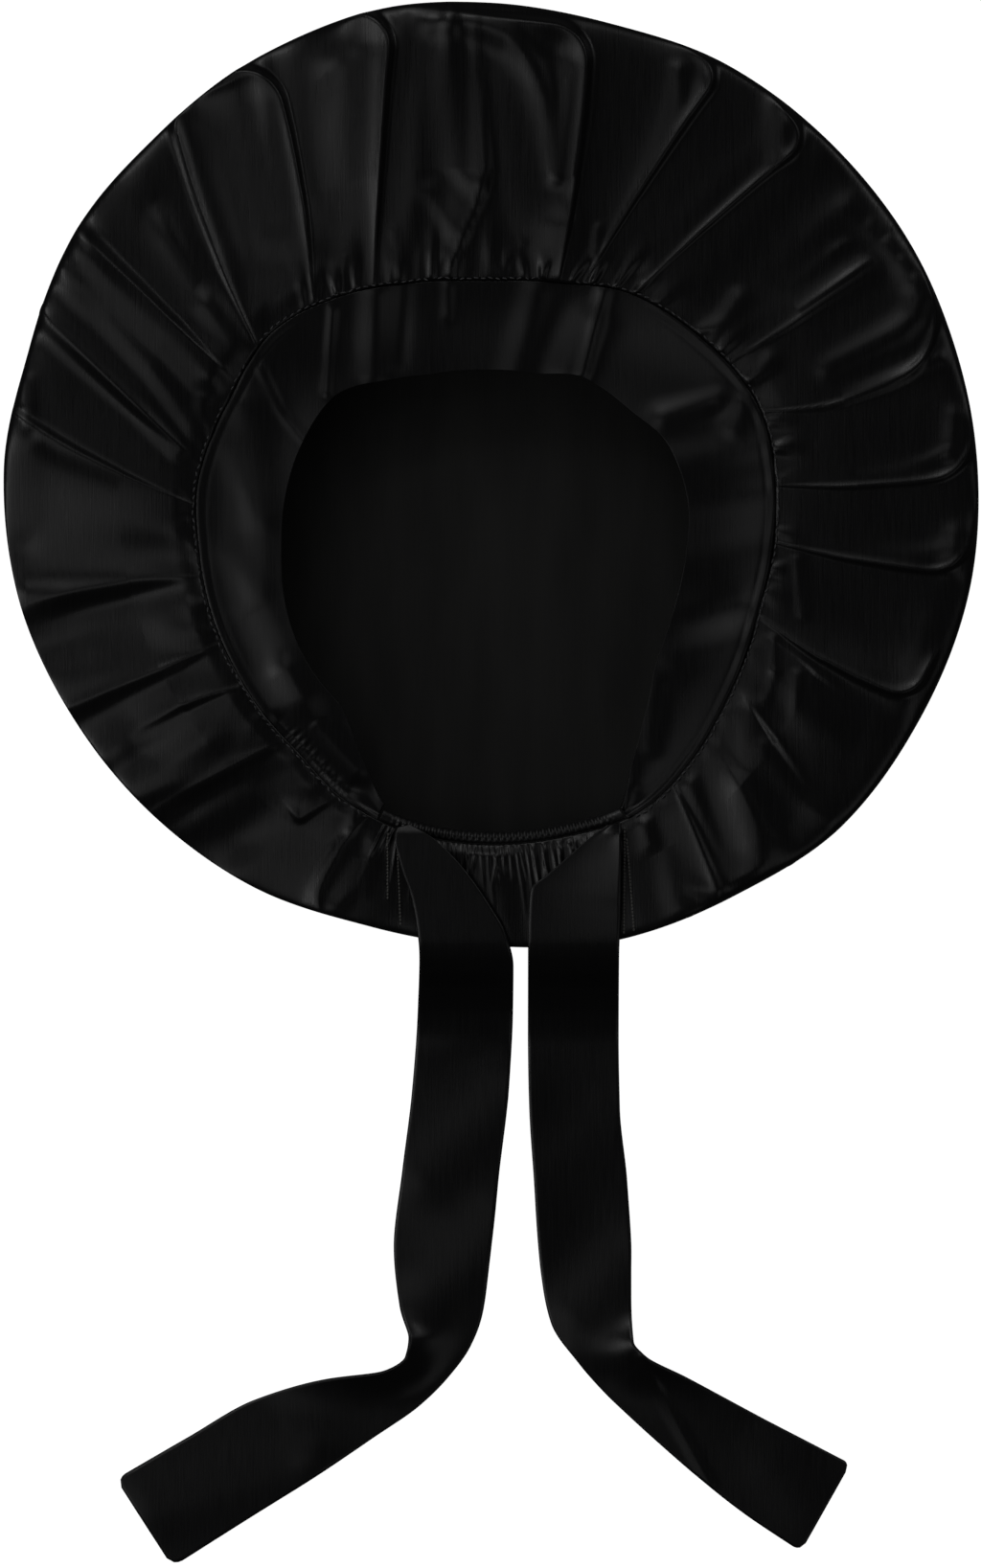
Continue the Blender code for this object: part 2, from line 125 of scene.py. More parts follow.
# Points of the grids. The flat bottom's rows lie at shares of the way out to its edge, and the last rows
# before the seam have the single cloth's wall.
CROWN_COLUMNS = 1120
NAPE_EXTRA_COLUMNS = 1.6
CREST_EXTRA_COLUMNS = 0.9
CREST_EXTRA_WIDTH = 2.0
FLAT_ROWS = (0.35, 0.7)
UNDER_ROWS = 7
RING_ROWS = 64
THIN_ROWS = 3
INNER_STEP = 16
BAND_COLUMNS = 1100
BAND_ROWS = 26
EDGE_SHARE = 0.005
CASING_COLUMNS = 620
CASING_ROWS = 12
TIE_STEPS = 420
TIE_ROWS = 28
LOOKUP_ANGLES = (225, 315, 900)
LOOKUP_ROWS = 120

# Outline of the crown: angle about the origin, radius.
RIM = (
    (0, 0.1695), (15, 0.1673), (30, 0.1660), (45, 0.1645), (60, 0.1638), (75, 0.1615),
    (90, 0.1633), (105, 0.1658), (120, 0.1658), (135, 0.1653), (150, 0.1673), (165, 0.1667),
    (180, 0.1700), (195, 0.1707), (210, 0.1693), (225, 0.1682), (240, 0.1670), (255, 0.1642),
    (270, 0.1655), (285, 0.1692), (300, 0.1705), (315, 0.1738), (330, 0.1725), (345, 0.1718),
)

# Seam between crown and band: angle about the opening's centre, radius.
SEAM = (
    (0, 0.0993), (15, 0.1038), (30, 0.1075), (45, 0.1055), (60, 0.1030), (75, 0.0968),
    (90, 0.0941), (105, 0.0967), (120, 0.1022), (135, 0.1065), (150, 0.1035), (165, 0.1030),
    (180, 0.0996), (195, 0.0974), (210, 0.0957), (225, 0.0952), (240, 0.0990), (255, 0.1010),
    (270, 0.1015), (285, 0.1025), (300, 0.1048), (315, 0.1014), (330, 0.0978), (345, 0.0967),
)

# Free inner edge of the band: angle about the opening's centre, radius.
BAND_EDGE = (
    (-62, 0.1010), (-55, 0.0890), (-45, 0.0786), (-30, 0.0696), (-15, 0.0683), (0, 0.0696),
    (15, 0.0725), (30, 0.0735), (45, 0.0703), (60, 0.0695), (75, 0.0643), (90, 0.0633),
    (105, 0.0643), (120, 0.0689), (135, 0.0754), (150, 0.0739), (165, 0.0720), (180, 0.0708),
    (195, 0.0718), (210, 0.0728), (225, 0.0731), (240, 0.0845), (248, 0.0950),
)

# Where threads of the crown run from and to: angle at the seam, angle at the rim.
THREADS = (
    (13, 0), (27, 16), (39, 30), (60, 46), (70, 60), (76, 79), (83, 89), (99, 95), (113, 102),
    (119, 110), (125, 118), (138, 132), (147, 150), (163, 160), (171, 173), (185, 196), (199, 209),
    (209, 217), (223, 225), (239, 237), (246, 248), (255, 258), (270, 270), (283, 279), (297, 286),
    (309, 298), (321, 306), (332, 314), (342, 324), (347, 332), (362, 348),
)

# Folds of the crown, lengths in millimetres: angle at the seam, angle at the rim, sideways bow at mid
# length (anticlockwise is positive), steep side (1 anticlockwise, -1 clockwise), where the fold turns
# back as a share of the way to the rim, radius of that turn, how far it then trails along the rim,
# height, width of the steep side, width of the gentle side, height of the crisp lip on the crest.
CROWN_FOLDS = (
    (13, 0, -2.5, -1, 0.97, 14, 16, 1.4, 0.9, 9, 0.9),
    (27, 16, -7.8, -1, 0.97, 18, 14, 1.5, 0.9, 9, 1.0),
    (38, 31, -4.0, -1, 0.72, 7, 8, 1.3, 0.9, 8, 0.9),
    (60, 46, 1.5, -1, 0.94, 9, 14, 1.5, 0.9, 9, 1.0),
    (70, 60, 1.5, -1, 0.96, 9, 16, 2.0, 1.2, 9, 1.1),
    (75, 78, -2.2, -1, 0.95, 12, 26, 4.2, 1.2, 8, 1.9),
    (99, 95, -15.0, -1, 0.62, 7, 9, 3.2, 1.6, 6.5, 1.5),
    (113, 102, 0.6, -1, 0.96, 12, 14, 6.0, 1.1, 23, 1.7),
    (125, 118, -2.9, -1, 0.94, 13, 12, 5.6, 1.1, 23, 1.7),
    (138, 132, 2.5, 1, 1.05, 10, 12, 1.8, 1.4, 6, 0.9),
    (146, 150, 0.0, -1, 1.20, 10, 12, 3.4, 2.6, 15, 0.2),
    (163, 160, 0.7, 1, 1.20, 10, 12, 3.4, 2.6, 14, 0.3),
    (171, 173, 2.2, -1, 1.20, 10, 12, 2.2, 1.6, 8, 0.3),
    (185, 196, -3.1, 1, 1.20, 14, 16, 3.2, 4.5, 26, 0.3),
    (199, 209, 0.0, 1, 1.20, 10, 14, 2.8, 3.2, 24, 0.4),
    (209, 217, -4.8, 1, 0.46, 5, 9, 2.2, 1.8, 10, 0.4),
    (223, 225, -1.2, 1, 1.20, 10, 14, 2.8, 3.6, 24, 0.4),
    (239, 237, -1.6, 1, 0.34, 1.5, 5, 1.4, 1.4, 6, 0.1),
    (246, 248, -3.1, -1, 1.05, 10, 10, 1.8, 3.0, 6, 0.4),
    (309, 298, 0.4, 1, 1.05, 8, 12, 1.8, 2.0, 7, 0.6),
    (321, 306, 0.0, 1, 0.90, 8, 12, 2.0, 4.0, 8, 0.0),
    (332, 314, -1.8, 1, 0.62, 10, 12, 2.3, 2.4, 13, 0.0),
    (344, 321, 6.0, 1, 0.66, 8, 10, 1.5, 1.8, 11, 0.0),
    (347, 332, -3.6, -1, 0.90, 8, 10, 2.2, 1.0, 12, 1.0),
    (362, 348, -1.8, -1, 0.95, 13, 16, 1.5, 0.9, 10, 1.0),
)

# Crisp lip of a crest in millimetres and the power by which a tall one widens, powers of the slopes,
# where a fold begins and is full, and the scale of its widths and lip at the seam and the rim.
LIP_WIDTH = 1.3
LIP_SPREAD = 1.6
LIP_POWER = 1.25
GENTLE_POWER = 1.5
FOLD_START = 0.02
TONGUE_FULL = 0.45
SCALE_AT_SEAM = 0.45
SCALE_AT_RIM = 1.5

# How steeply the ring falls outwards: angle at the rim, slope.
RING_FALL = (
    (0, 0.00), (98, 0.00), (110, 0.06), (118, 0.09), (128, 0.09), (142, 0.03), (165, 0.03),
    (182, 0.12), (195, 0.17), (210, 0.19), (232, 0.18), (248, 0.10), (265, 0.04), (290, 0.00),
)

# Short gathers of the crown: seed of the draws, how many, from and to which angle at the seam, length of
# the longest in metres, height as a share of the gather depth.
GATHERS = (
    (8, 5, -60, -5, 0.020, 0.5),
    (3, 9, -5, 58, 0.024, 0.9),
    (6, 17, 58, 130, 0.028, 1.3),
    (4, 13, 130, 248, 0.026, 0.4),
    (5, 46, 249, 297, 0.026, 1.1),
)

# Width of a gather at the seam and its growth outwards, as shares of its room, and how soon it rises.
GATHER_WIDTH = 0.18
GATHER_GROWTH = 0.45
GATHER_START = 0.0015

# Soft folds that run with the threads: seed of the draws, how many, whether they start at the rim.
LONG_FOLDS = ((31, 60, False), (33, 54, True))

# Their fades as shares of the way, the angle where the satin lies smoothest, and the share of their
# height that they lose there.
RIM_FADE = 0.35
SEAM_FADE = 0.12
END_FADE = 0.3
SMOOTH_SIDE = 15
SMOOTHING = 0.8

# Broad shallow waves of the crown.
SWELL_SEED = 11
SWELL_COUNT = 16
SWELL_DEPTH = 0.00008

# How much of the noted height the soft folds take.
SOFT_RISE = 0.85

# Soft folds and dents in plan, in millimetres from the middle of the crown: from x, y to x, y along the
# fold, half width, height (a dent's is less than nothing).
SOFT_FOLDS = (
    (-113, 86, -110, 67, 3.9, 2.3), (-142, 72, -100, 36, 9.1, 2.9), (-98, 58, -85, 43, 5.5, 2.0),
    (-51, 74, -51, 61, 1.5, 0.5), (-52, 141, -51, 114, 7.6, 2.1), (-20, 156, -9, 156, 5.0, 2.2),
    (-9, 156, -2, 154, 5.0, 2.4), (-2, 154, 6, 150, 4.8, 2.5), (6, 150, 11, 145, 4.6, 2.6),
    (11, 145, 15, 139, 4.4, 2.6), (15, 139, 17.5, 132, 4.2, 2.5), (17.5, 132, 20, 124, 4.0, 2.3),
    (20, 124, 22, 112, 3.6, 2.0), (22, 112, 22.5, 102, 3.0, 1.6), (-16, 114, -7, 101, 4.8, 1.6),
    (-21, 97, -12, 83, 4.2, 1.2), (-34, 84, -30, 68, 1.8, 0.4), (-24, 77, -25, 67, 1.5, 0.4),
    (-16, 76, -20, 67, 1.5, 0.4), (1, 68, 11, 79, 1.5, 0.4), (27, 137, 25, 114, 2.4, 0.8),
    (24, 84, 24, 69, 6.7, 2.4), (37, 84, 36, 76, 1.8, 0.6), (65, 139, 64, 117, 3.0, 1.2),
    (102, 129, 101, 111, 5.2, 2.3), (124, 91, 132, 85, 4.2, 0.6), (132, 85, 138, 79, 4.5, 1.0),
    (138, 79, 143, 73, 4.8, 1.5), (143, 73, 147, 66, 5.0, 2.0), (147, 66, 149, 60, 5.1, 2.5),
    (149, 60, 147, 54, 5.2, 2.7), (147, 54, 142, 49, 5.0, 2.6), (142, 49, 135, 45.5, 4.8, 2.3),
    (135, 45.5, 128, 42.5, 4.6, 1.9), (128, 42.5, 122, 39, 4.4, 1.5), (122, 39, 117, 35.5, 4.2, 1.1),
    (129, 68, 118, 60, 4.2, 1.7), (78, 48, 86, 60, 3.6, 1.3), (90, 32, 96, 38, 3.6, 1.0),
    (155, 39, 132, 29, 3.0, 1.1), (161, 19, 160, 6, 3.6, 1.2), (143, -1, 158, 7, 2.4, 0.8),
    (161, -22, 160, -33, 4.2, 1.4), (136, -32, 160, -27, 4.2, 1.0), (106, -31, 108, -49, 2.1, 0.7),
    (129, -69, 144, -79, 5.5, 1.5), (152, -54, 147, -71, 7.6, 1.2), (98, -58, 98, -69, 1.8, 0.6),
    (98, -70, 95, -80, 1.8, 0.5), (106, -71, 105, -89, 2.1, 0.7), (89, -84, 91, -129, 5.5, 1.6),
    (95, -96, 98, -119, 3.6, 0.9), (105, -111, 117, -121, 4.2, 1.0), (76, -146, 62, -141, 3.0, 0.7),
    (69, -109, 76, -127, 3.0, 0.8), (53, -123, 55, -129, 3.0, 0.8), (62, -144, 65, -151, 4.2, 0.8),
    (-155, 50, -130, 29, 4.2, 1.4), (-129, 29, -109, 7, 3.6, 1.3), (-156, 11, -136, -0, 4.2, 1.4),
    (-162, 31, -161, 16, 3.6, 1.2), (-161, -42, -134, -41, 4.2, 1.5), (-106, -18, -102, -29, 2.1, 0.7),
    (-100, 23, -96, 12, 3.0, 1.0), (-97, 32, -91, 24, 3.6, 0.9), (-119, -80, -116, -90, 4.8, 1.9),
    (-46, -117, -49, -124, 2.4, 0.9), (-41, -129, -43, -144, 2.4, 0.7), (-45, -139, -54, -151, 3.6, 1.2),
    (-84, -123, -84, -123, 8.7, -1.6), (-112, -87, -112, -87, 5.0, -1.0), (-121, -96, -121, -96, 6.7, -0.8),
    (-163, -27, -163, -27, 6.0, -1.0), (-74, 72, -74, 72, 7.3, -0.7), (50, 69, 50, 69, 4.0, -0.8),
)

# Share of the band's inward fall that it has at each angle at the seam. On the left it rises.
BAND_FALL = (
    (0, 0.15), (35, 0.35), (65, 0.9), (92, 1.0), (122, 0.7), (150, -0.1), (180, -0.45), (215, -0.45),
    (240, 0.0), (270, 0.3), (320, 0.2),
)

# Soft folds of the band, columns as above.
BAND_SOFT_FOLDS = (
    (-55, 56, -57, 27, 1.6, 1.1), (-40, 61, -41, 34, 5.0, 2.2), (-30, 64, -32, 38, 3.5, -0.8),
    (-80, 36, -73, 21, 2.4, 1.0), (-73, 21, -65, 11, 2.4, 0.9), (-84, 22, -81, -8, 8.0, 2.2),
    (-81, -8, -80, -46, 8.0, 2.2), (-80, -46, -66, -78, 7.6, 2.1), (-91, 8, -80, -16, 5.0, 0.6),
    (-91, -28, -82, -42, 5.0, 0.6), (-72, -70, -60, -88, 6.0, 2.2), (-60, -88, -47, -104, 5.0, 2.6),
    (-74, -88, -50, -110, 4.0, -2.0), (34, 51, 27, 35, 7.0, 2.2), (39, 62, 32, 34, 2.6, 1.6),
    (16, 62, 8, 32, 5.5, 1.4), (78, 25, 60, 19, 4.6, 1.8), (84, 15, 87, 23, 4.2, 1.4),
    (64, 2, 96, 8, 7.0, 1.2), (60, -12, 96, -6, 7.0, -1.0), (66, -34, 92, -28, 10.0, 2.0),
    (66, -50, 86, -46, 6.0, -1.0), (64, -66, 84, -60, 8.0, 1.8), (57, -74, 55, -96, 4.2, 1.0),
    (50, -112, 46, -123, 2.4, 0.9), (-15, 64, -15, 54, 2.2, 0.7),
)

# Height of the ties' underside along -Y: over the crown's edge, down off its rim and onto the floor.
TIE_FALL = (
    (-0.121, 0.0270), (-0.126, 0.0292), (-0.132, 0.0289), (-0.141, 0.0279), (-0.150, 0.0269),
    (-0.157, 0.0263), (-0.163, 0.0256), (-0.168, 0.0236), (-0.173, 0.0190), (-0.180, 0.0108),
    (-0.189, 0.0040), (-0.199, 0.0006), (-0.208, 0.0000), (-0.400, 0.0000),
)

# Sections of each tie in millimetres, from the seam to the free end: left edge x and y, right edge x and
# y, and how far each edge is lifted where the strap turns.
TIE_LEFT = (
    (-32.5, -123.5, -28.5, -122.5, 0, 0), (-33.3, -128.7, -22, -126, 0, 0),
    (-32.3, -133.3, -14.3, -132.7, 0, 0), (-30.7, -139.3, -6.3, -142.3, 0, 0),
    (-28, -147, 0, -151.7, 0, 0), (-26, -157.3, 4.7, -160, 0, 0),
    (-25, -169.3, 7.7, -172.7, 0, 0), (-25.7, -189.3, 7.5, -189.3, 0, 0),
    (-27.7, -216, 6, -216, 0, 0), (-31, -242.7, 2.7, -244.3, 0, 0),
    (-34, -269.3, -0.3, -272.7, 0, 0), (-32, -289.3, -3, -292.7, 3, 0),
    (-28.3, -301, -7.3, -304.3, 9, 0), (-29.3, -307.7, -15, -315, 11.5, 0),
    (-37.7, -313.3, -24.3, -324.3, 9, 0), (-58.7, -316, -41, -336, 3, 0),
    (-82.3, -322.7, -60.7, -349.3, 0, 0), (-106, -336, -83.7, -363.7, 0, 0),
    (-130.7, -350.3, -111, -381, 0, 0),
)
TIE_RIGHT = (
    (40.5, -123, 44.5, -122, 1, 2.6), (34, -127.3, 44.5, -126.7, 0, 3.2),
    (26.3, -134, 44.7, -133.7, 0, 3.4), (19, -140.3, 44.7, -140.3, 0, 3.4),
    (13.7, -145, 44.7, -146, 0, 3.2), (13, -152.7, 44.7, -153.3, 0, 2.4),
    (12.7, -169.3, 44.3, -169.3, 0, 1.2), (12.7, -196, 44.3, -196, 0, 0),
    (13.3, -222.7, 44.7, -221, 0, 0), (15, -249.3, 47.3, -246.7, 0, 0),
    (17.3, -279.3, 48.7, -272.7, 0, 0), (20.7, -296, 48.7, -291, 0, 2),
    (29.7, -309.3, 49, -302, 0, 7), (39, -320, 54.5, -308.5, 0, 8),
    (48.7, -329.3, 69.3, -316, 0, 4), (71.3, -349.3, 94.7, -329.3, 0, 0),
    (87.3, -362, 109, -336.7, 0, 0), (107.7, -375.7, 125, -345, 0, 0),
)

# Soft folds of both ties, columns as above.
TIE_SOFT_FOLDS = (
    (-25, -203, 0, -193, 7.9, 0.9), (-23, -245, 7, -220, 12.7, 2.6), (-17, -289, 6, -261, 15.8, 3.8),
    (-118, -360, -68, -345, 13.9, 2.4), (-59, -341, -26, -333, 7.9, 1.1), (20, -243, 50, -220, 12.1, 1.0),
    (30, -293, 52, -273, 12.7, 3.0), (30, -308, 47, -306, 7.9, 1.3), (100, -347, 110, -360, 12.1, 1.0),
    (52, -308, 76, -352, 1.6, 0.9),
)

# Stitches of the seam, in metres, and the degrees by which their row stops short of the band's ends and
# by which each looks ahead along the seam.
STITCH_SEED = 8
STITCH_PITCH = 0.0026
STITCH_LENGTH = 0.0018
STITCH_OUT = 0.0008
STITCH_OUT_CHANGE = 0.25
STITCH_RISE = 0.0007
STITCH_LEAN = 0.0004
STITCH_MARGIN = 2
STITCH_AHEAD = 0.5
THREAD_THICK = 0.0005

# Beads of the two side seams, in metres.
OVERLOCK_LENGTH = 0.0011
OVERLOCK_THICK = 0.0007
OVERLOCK_RISE = 0.0002

# Their lines in plan, in millimetres: from x, y to x, y, and the distance from bead to bead.
OVERLOCK_PITCH = 1.15
SIDE_SEAMS = {
    "side_seam_left": ((-36, -126, -36, -148), (-32.5, -132, -31.5, -157)),
    "side_seam_right": ((47, -128, 49.5, -159), (46.2, -124, 46.0, -160)),
}

# Looks of the glossy side: added roughness, width and length of a streak in millimetres, relief, sheen.
FACE_LOOKS = {
    "silk_satin_face": (0.0, 0.45, 14.0, 0.55, 0.02),
    "doubled_satin_band": (0.02, 0.45, 14.0, 0.30, 0.02),
    "gathered_satin_casing": (0.04, 0.45, 8.0, 0.25, 0.02),
    "doubled_satin_tie": (0.03, 0.5, 14.0, 0.28, 0.02),
}

# The same with a roughness of their own, and for the dull side its gloss and its change of shade.
REVERSE_LOOK = (0.62, 0.6, 20.0, 0.25, 0.05, 0.35, 0.3)
THREAD_LOOK = (0.5, 0.3, 2.0, 0.2, 0.1)

# Patches of shade, the fine grain beside the streaks, and the range that noise mostly keeps to.
CLOUD_WIDTH_MM = 14.0
CLOUD_LENGTH_MM = 60.0
GRAIN_SCALE = 2000.0
GRAIN_SHARE = 0.25
RELIEF_DEPTH = 0.00013
ROUGHNESS_CHANGE = 0.05
NOISE_RANGE = (0.3, 0.7)

# Studio: the camera's lens, and the photo's frame in metres.
CAMERA_LENS = 600.0
CAMERA_SENSOR = 36.0
FRAME_LENGTH = 0.5457
FRAME_MIDDLE = (-0.0003, -0.1085)

FLOOR_HALF = 4.0
FLOOR_DROP = 0.0004

# Softboxes: name, direction they stand in, angle from straight overhead, width and height, power.
LAMP_DISTANCE = 2.0
LAMP_AIM = (0, 0, 0.02)
SOFTBOXES = (
    ("wide_front", 105, 56, (2.0, 1.4), 3.6),
    ("wide_left", 195, 52, (1.4, 1.1), 2.4),
    ("wide_right", 30, 64, (1.2, 1.1), 1.2),
    ("low_front", 118, 29, (1.1, 0.8), 0.75),
    ("low_left", 212, 25, (0.9, 0.8), 0.75),
    ("strip_front", 115, 50, (1.0, 0.25), 1.8),
    ("strip_left", 190, 60, (1.0, 0.3), 1.5),
    ("strip_right", 40, 64, (0.9, 0.2), 0.8),
    ("wide_back", 318, 52, (1.4, 1.0), 0.9),
)


def slopes_of(at, value):
    """Slope at each row of a table: none at a peak or a hollow, else the gentler mean of both sides."""
    step = np.diff(value) / np.diff(at)
    before, after = step[:-1], step[1:]
    same_way = before * after > 0
    total = np.where(same_way, before + after, 1.0)
    middle = np.where(same_way, 2.0 * before * after / total, 0.0)
    return np.concatenate([step[:1], middle, step[-1:]])


def smooth(at, value, where):
    """Cubic curve through the rows (at, value), read at where, which never swings past a row."""
    at = np.asarray(at, float)
    value = np.asarray(value, float)
    slope = slopes_of(at, value)
    where = np.asarray(where, float)
    row = np.clip(np.searchsorted(at, where, side="right") - 1, 0, len(at) - 2)
    length = at[row + 1] - at[row]
    s = (where - at[row]) / length
    start = (1 + 2 * s) * (1 - s) ** 2 * value[row] + s * (1 - s) ** 2 * length * slope[row]
    end = s**2 * (3 - 2 * s) * value[row + 1] - s**2 * (1 - s) * length * slope[row + 1]
    return start + end


def smooth_round(table, angle):
    """Reads a table of (angle, value) that closes on itself, at any angle in degrees."""
    at = np.array([row[0] for row in table], float)
    value = np.array([row[1] for row in table], float)
    at = np.concatenate([at - 360, at, at + 360])
    value = np.tile(value, 3)
    return smooth(at, value, np.mod(angle, 360.0))


def ease(share):
    """Smooth step from 0 to 1."""
    share = np.clip(share, 0.0, 1.0)
    return share * share * (3 - 2 * share)


def bell(where, middle, width):
    """Bell curve, 1 at its middle and 0.37 a width away."""
    return np.exp(-(((where - middle) / width) ** 2))


def polar(angle, radius, centre=(0.0, 0.0)):
    """Plan point at an angle and a radius from a centre."""
    turn = np.radians(angle)
    return centre[0] + radius * np.cos(turn), centre[1] + radius * np.sin(turn)


def angle_between(angle, other):
    """Signed angle from other to angle, in degrees, the short way round."""
    return np.mod(angle - other + 180, 360) - 180


def stretch(angle, middle, half, fade):
    """1 on a stretch of angles, falling to 0 inside both its ends in smooth steps."""
    return ease((half - np.abs(angle_between(angle, middle))) / fade)


def seam_angle_at(rim_angle):
    """Angle on the seam that a thread from this angle on the rim runs to."""
    seam, rim = np.array(THREADS, float).T
    rim = np.concatenate([rim - 360, rim, rim + 360])
    seam = np.concatenate([seam - 360, seam, seam + 360])
    return smooth(rim, seam, rim_angle)


def seam_height(seam_angle, shape):
    """Height of the seam, which dips at the nape in a cosine."""
    away = np.abs(angle_between(seam_angle, NAPE_ANGLE))
    dip = 0.5 + 0.5 * np.cos(np.pi * np.clip(away / NAPE_DROP_HALF_ANGLE, 0, 1))
    return shape.seam_height - shape.nape_drop * dip


def fold_ridge(x, y, start, end, fold):
    """Height in metres of one fold at the points x, y.

    The crest runs from start towards end in a bow, and turns back in a round corner before it gets there.
    It is the edge of a box with one round corner, whose signed distance gives the profile: outside a
    steep fall, inside a gentle one with a crisp lip at the crest.
    """
    bow, steep, turn_at, corner, trail, height, sharp, soft, lip = fold
    reach = end - start
    length = math.hypot(*reach)
    ex, ey = reach / length
    along = (x - start[0]) * ex + (y - start[1]) * ey
    share = along / length
    side = (y - start[1]) * ex - (x - start[0]) * ey
    side = (side - bow * MM * np.sin(np.pi * np.clip(share, 0, 1))) * steep / MM
    past = (along - turn_at * length) / MM
    box_x = side + corner
    box_y = past + corner
    outside = np.hypot(np.maximum(box_x, 0), np.maximum(box_y, 0))
    away = outside + np.minimum(np.maximum(box_x, box_y), 0) - corner
    grown = SCALE_AT_SEAM + (1 - SCALE_AT_SEAM) * ease(share / 0.5)
    grown = grown + (SCALE_AT_RIM - 1) * ease((share - 0.5) / 0.5)
    tongue = (height - lip) * ease(share / TONGUE_FULL)
    inside = np.abs(away)
    crisp = np.exp(-((inside / (LIP_WIDTH * max(lip, 1.0) ** LIP_SPREAD * grown)) ** LIP_POWER))
    gentle = tongue * np.exp(-((inside / soft) ** GENTLE_POWER)) + lip * grown * crisp
    fall = (tongue + lip * grown) * bell(away, 0, sharp * grown)
    ridge = np.where(away > 0, fall, gentle)
    trailing = bell(np.maximum(-side - corner, 0), 0, trail)
    begin = ease(share / FOLD_START) * (share > 0)
    return MM * ridge * begin * trailing


def crown_folds(x, y):
    """Sum of all folds of the crown at the plan points x, y."""
    total = np.zeros(x.shape)
    for seam_at, rim_at, *fold in CROWN_FOLDS:
        start = np.array(polar(seam_at, smooth_round(SEAM, seam_at), OPENING))
        end = np.array(polar(rim_at, smooth_round(RIM, rim_at)))
        total += fold_ridge(x, y, start, end, fold)
    return total


def soft_folds(x, y, table):
    """Sum of soft folds: each falls off as a bell curve of the distance from its own straight line.

    A row that starts where the last one ended goes on with the same fold, so the higher of both counts.
    """
    total = np.zeros(x.shape)
    run = np.zeros(x.shape)
    run_end = None
    for ax, ay, bx, by, width, height in table:
        dx, dy = bx - ax, by - ay
        px, py = x / MM - ax, y / MM - ay
        along = np.clip((px * dx + py * dy) / max(dx * dx + dy * dy, 1e-9), 0, 1)
        away = np.hypot(px - along * dx, py - along * dy)
        rise = SOFT_RISE * height * MM * bell(away, 0, width)
        if run_end != (ax, ay):
            total += run
            run = rise
        run = np.where(np.abs(rise) > np.abs(run), rise, run)
        run_end = (bx, by)
    return total + run


def gathers(seam_angle, out, seed, count, low, high, longest, depth):
    """Short puckers that start at the seam between two angles.

    Each is a ridge, one wave of a cosine across, with its own place, length and height from seeded draws.
    It widens on its way out, while its height falls off to nothing at its end.
    """
    random = np.random.default_rng(seed)
    step = (high - low) / count
    centre = low + step * (np.arange(count) + random.uniform(0.2, 0.8, count))
    length = longest * random.uniform(0.35, 1.0, count)
    height = depth * random.uniform(0.35, 1.0, count)
    lean = random.uniform(-0.25, 0.25, count)
    total = np.zeros(out.shape)
    for at, far, tall, slant in zip(centre, length, height, lean):
        across = np.radians(angle_between(seam_angle, at)) * SEAM_RADIUS - slant * out
        growth = GATHER_WIDTH + GATHER_GROWTH * np.clip(out / far, 0, 1)
        width = np.radians(step) * SEAM_RADIUS * growth
        hump = np.where(np.abs(across) < width, 0.5 + 0.5 * np.cos(np.pi * across / width), 0.0)
        total += tall * hump * ease(out / GATHER_START) * (1 - ease(out / far))
    return total


def swells(rim_angle, share):
    """Broad shallow waves in the satin: a sum of cosines of seeded phase, gone at the seam and the rim."""
    random = np.random.default_rng(SWELL_SEED)
    turn = np.radians(rim_angle)
    total = np.zeros(share.shape)
    for _ in range(SWELL_COUNT):
        around = random.integers(9, 30)
        outwards = random.uniform(-7, 7)
        phase = random.uniform(0, 2 * np.pi)
        total += np.cos(around * turn + outwards * share + phase) / around**0.5
    return SWELL_DEPTH * total * np.sin(np.pi * np.clip(share, 0, 1)) ** 0.7


def long_folds(seam_angle, share, width, seed, count, from_rim):
    """Soft folds that run with the threads: bell curves across, with their own reach, width and height.

    Those from the seam fade outwards and those from the rim fade inwards. All are shallower on the
    right, where the satin lies smoother.
    """
    random = np.random.default_rng(seed)
    at = 360 / count * (np.arange(count) + random.uniform(0.1, 0.9, count))
    reach = random.uniform(0.35, 0.85, count)
    across = random.uniform(4.0, 10.0, count) * MM
    lean = random.uniform(-0.22, 0.22, count)
    smooth_side = 0.5 + 0.5 * np.cos(np.radians(at - SMOOTH_SIDE))
    height = across * random.uniform(0.08, 0.22, count) * (1 - SMOOTHING * smooth_side)
    total = np.zeros(share.shape)
    for centre, far, wide, slant, tall in zip(at, reach, across, lean, height):
        away = np.radians(angle_between(seam_angle, centre)) * (SEAM_RADIUS + width * share)
        away = away - slant * share * width
        if from_rim:
            fade = ease((share - 1 + far) / RIM_FADE)
        else:
            fade = ease(share / SEAM_FADE) * (1 - ease((share - far + END_FADE) / END_FADE))
        total += tall * bell(away, 0, wide) * fade
    return total


def unevenness(angle, seed, slowest, fastest):
    """Sum of cosines of seeded phase round a turn, mostly from -1 to 1."""
    random = np.random.default_rng(seed)
    turn = np.radians(angle)
    total = 0 * turn
    for waves in range(slowest, fastest):
        total = total + np.cos(waves * turn + random.uniform(0, 2 * np.pi))
    return total / math.sqrt(fastest - slowest)


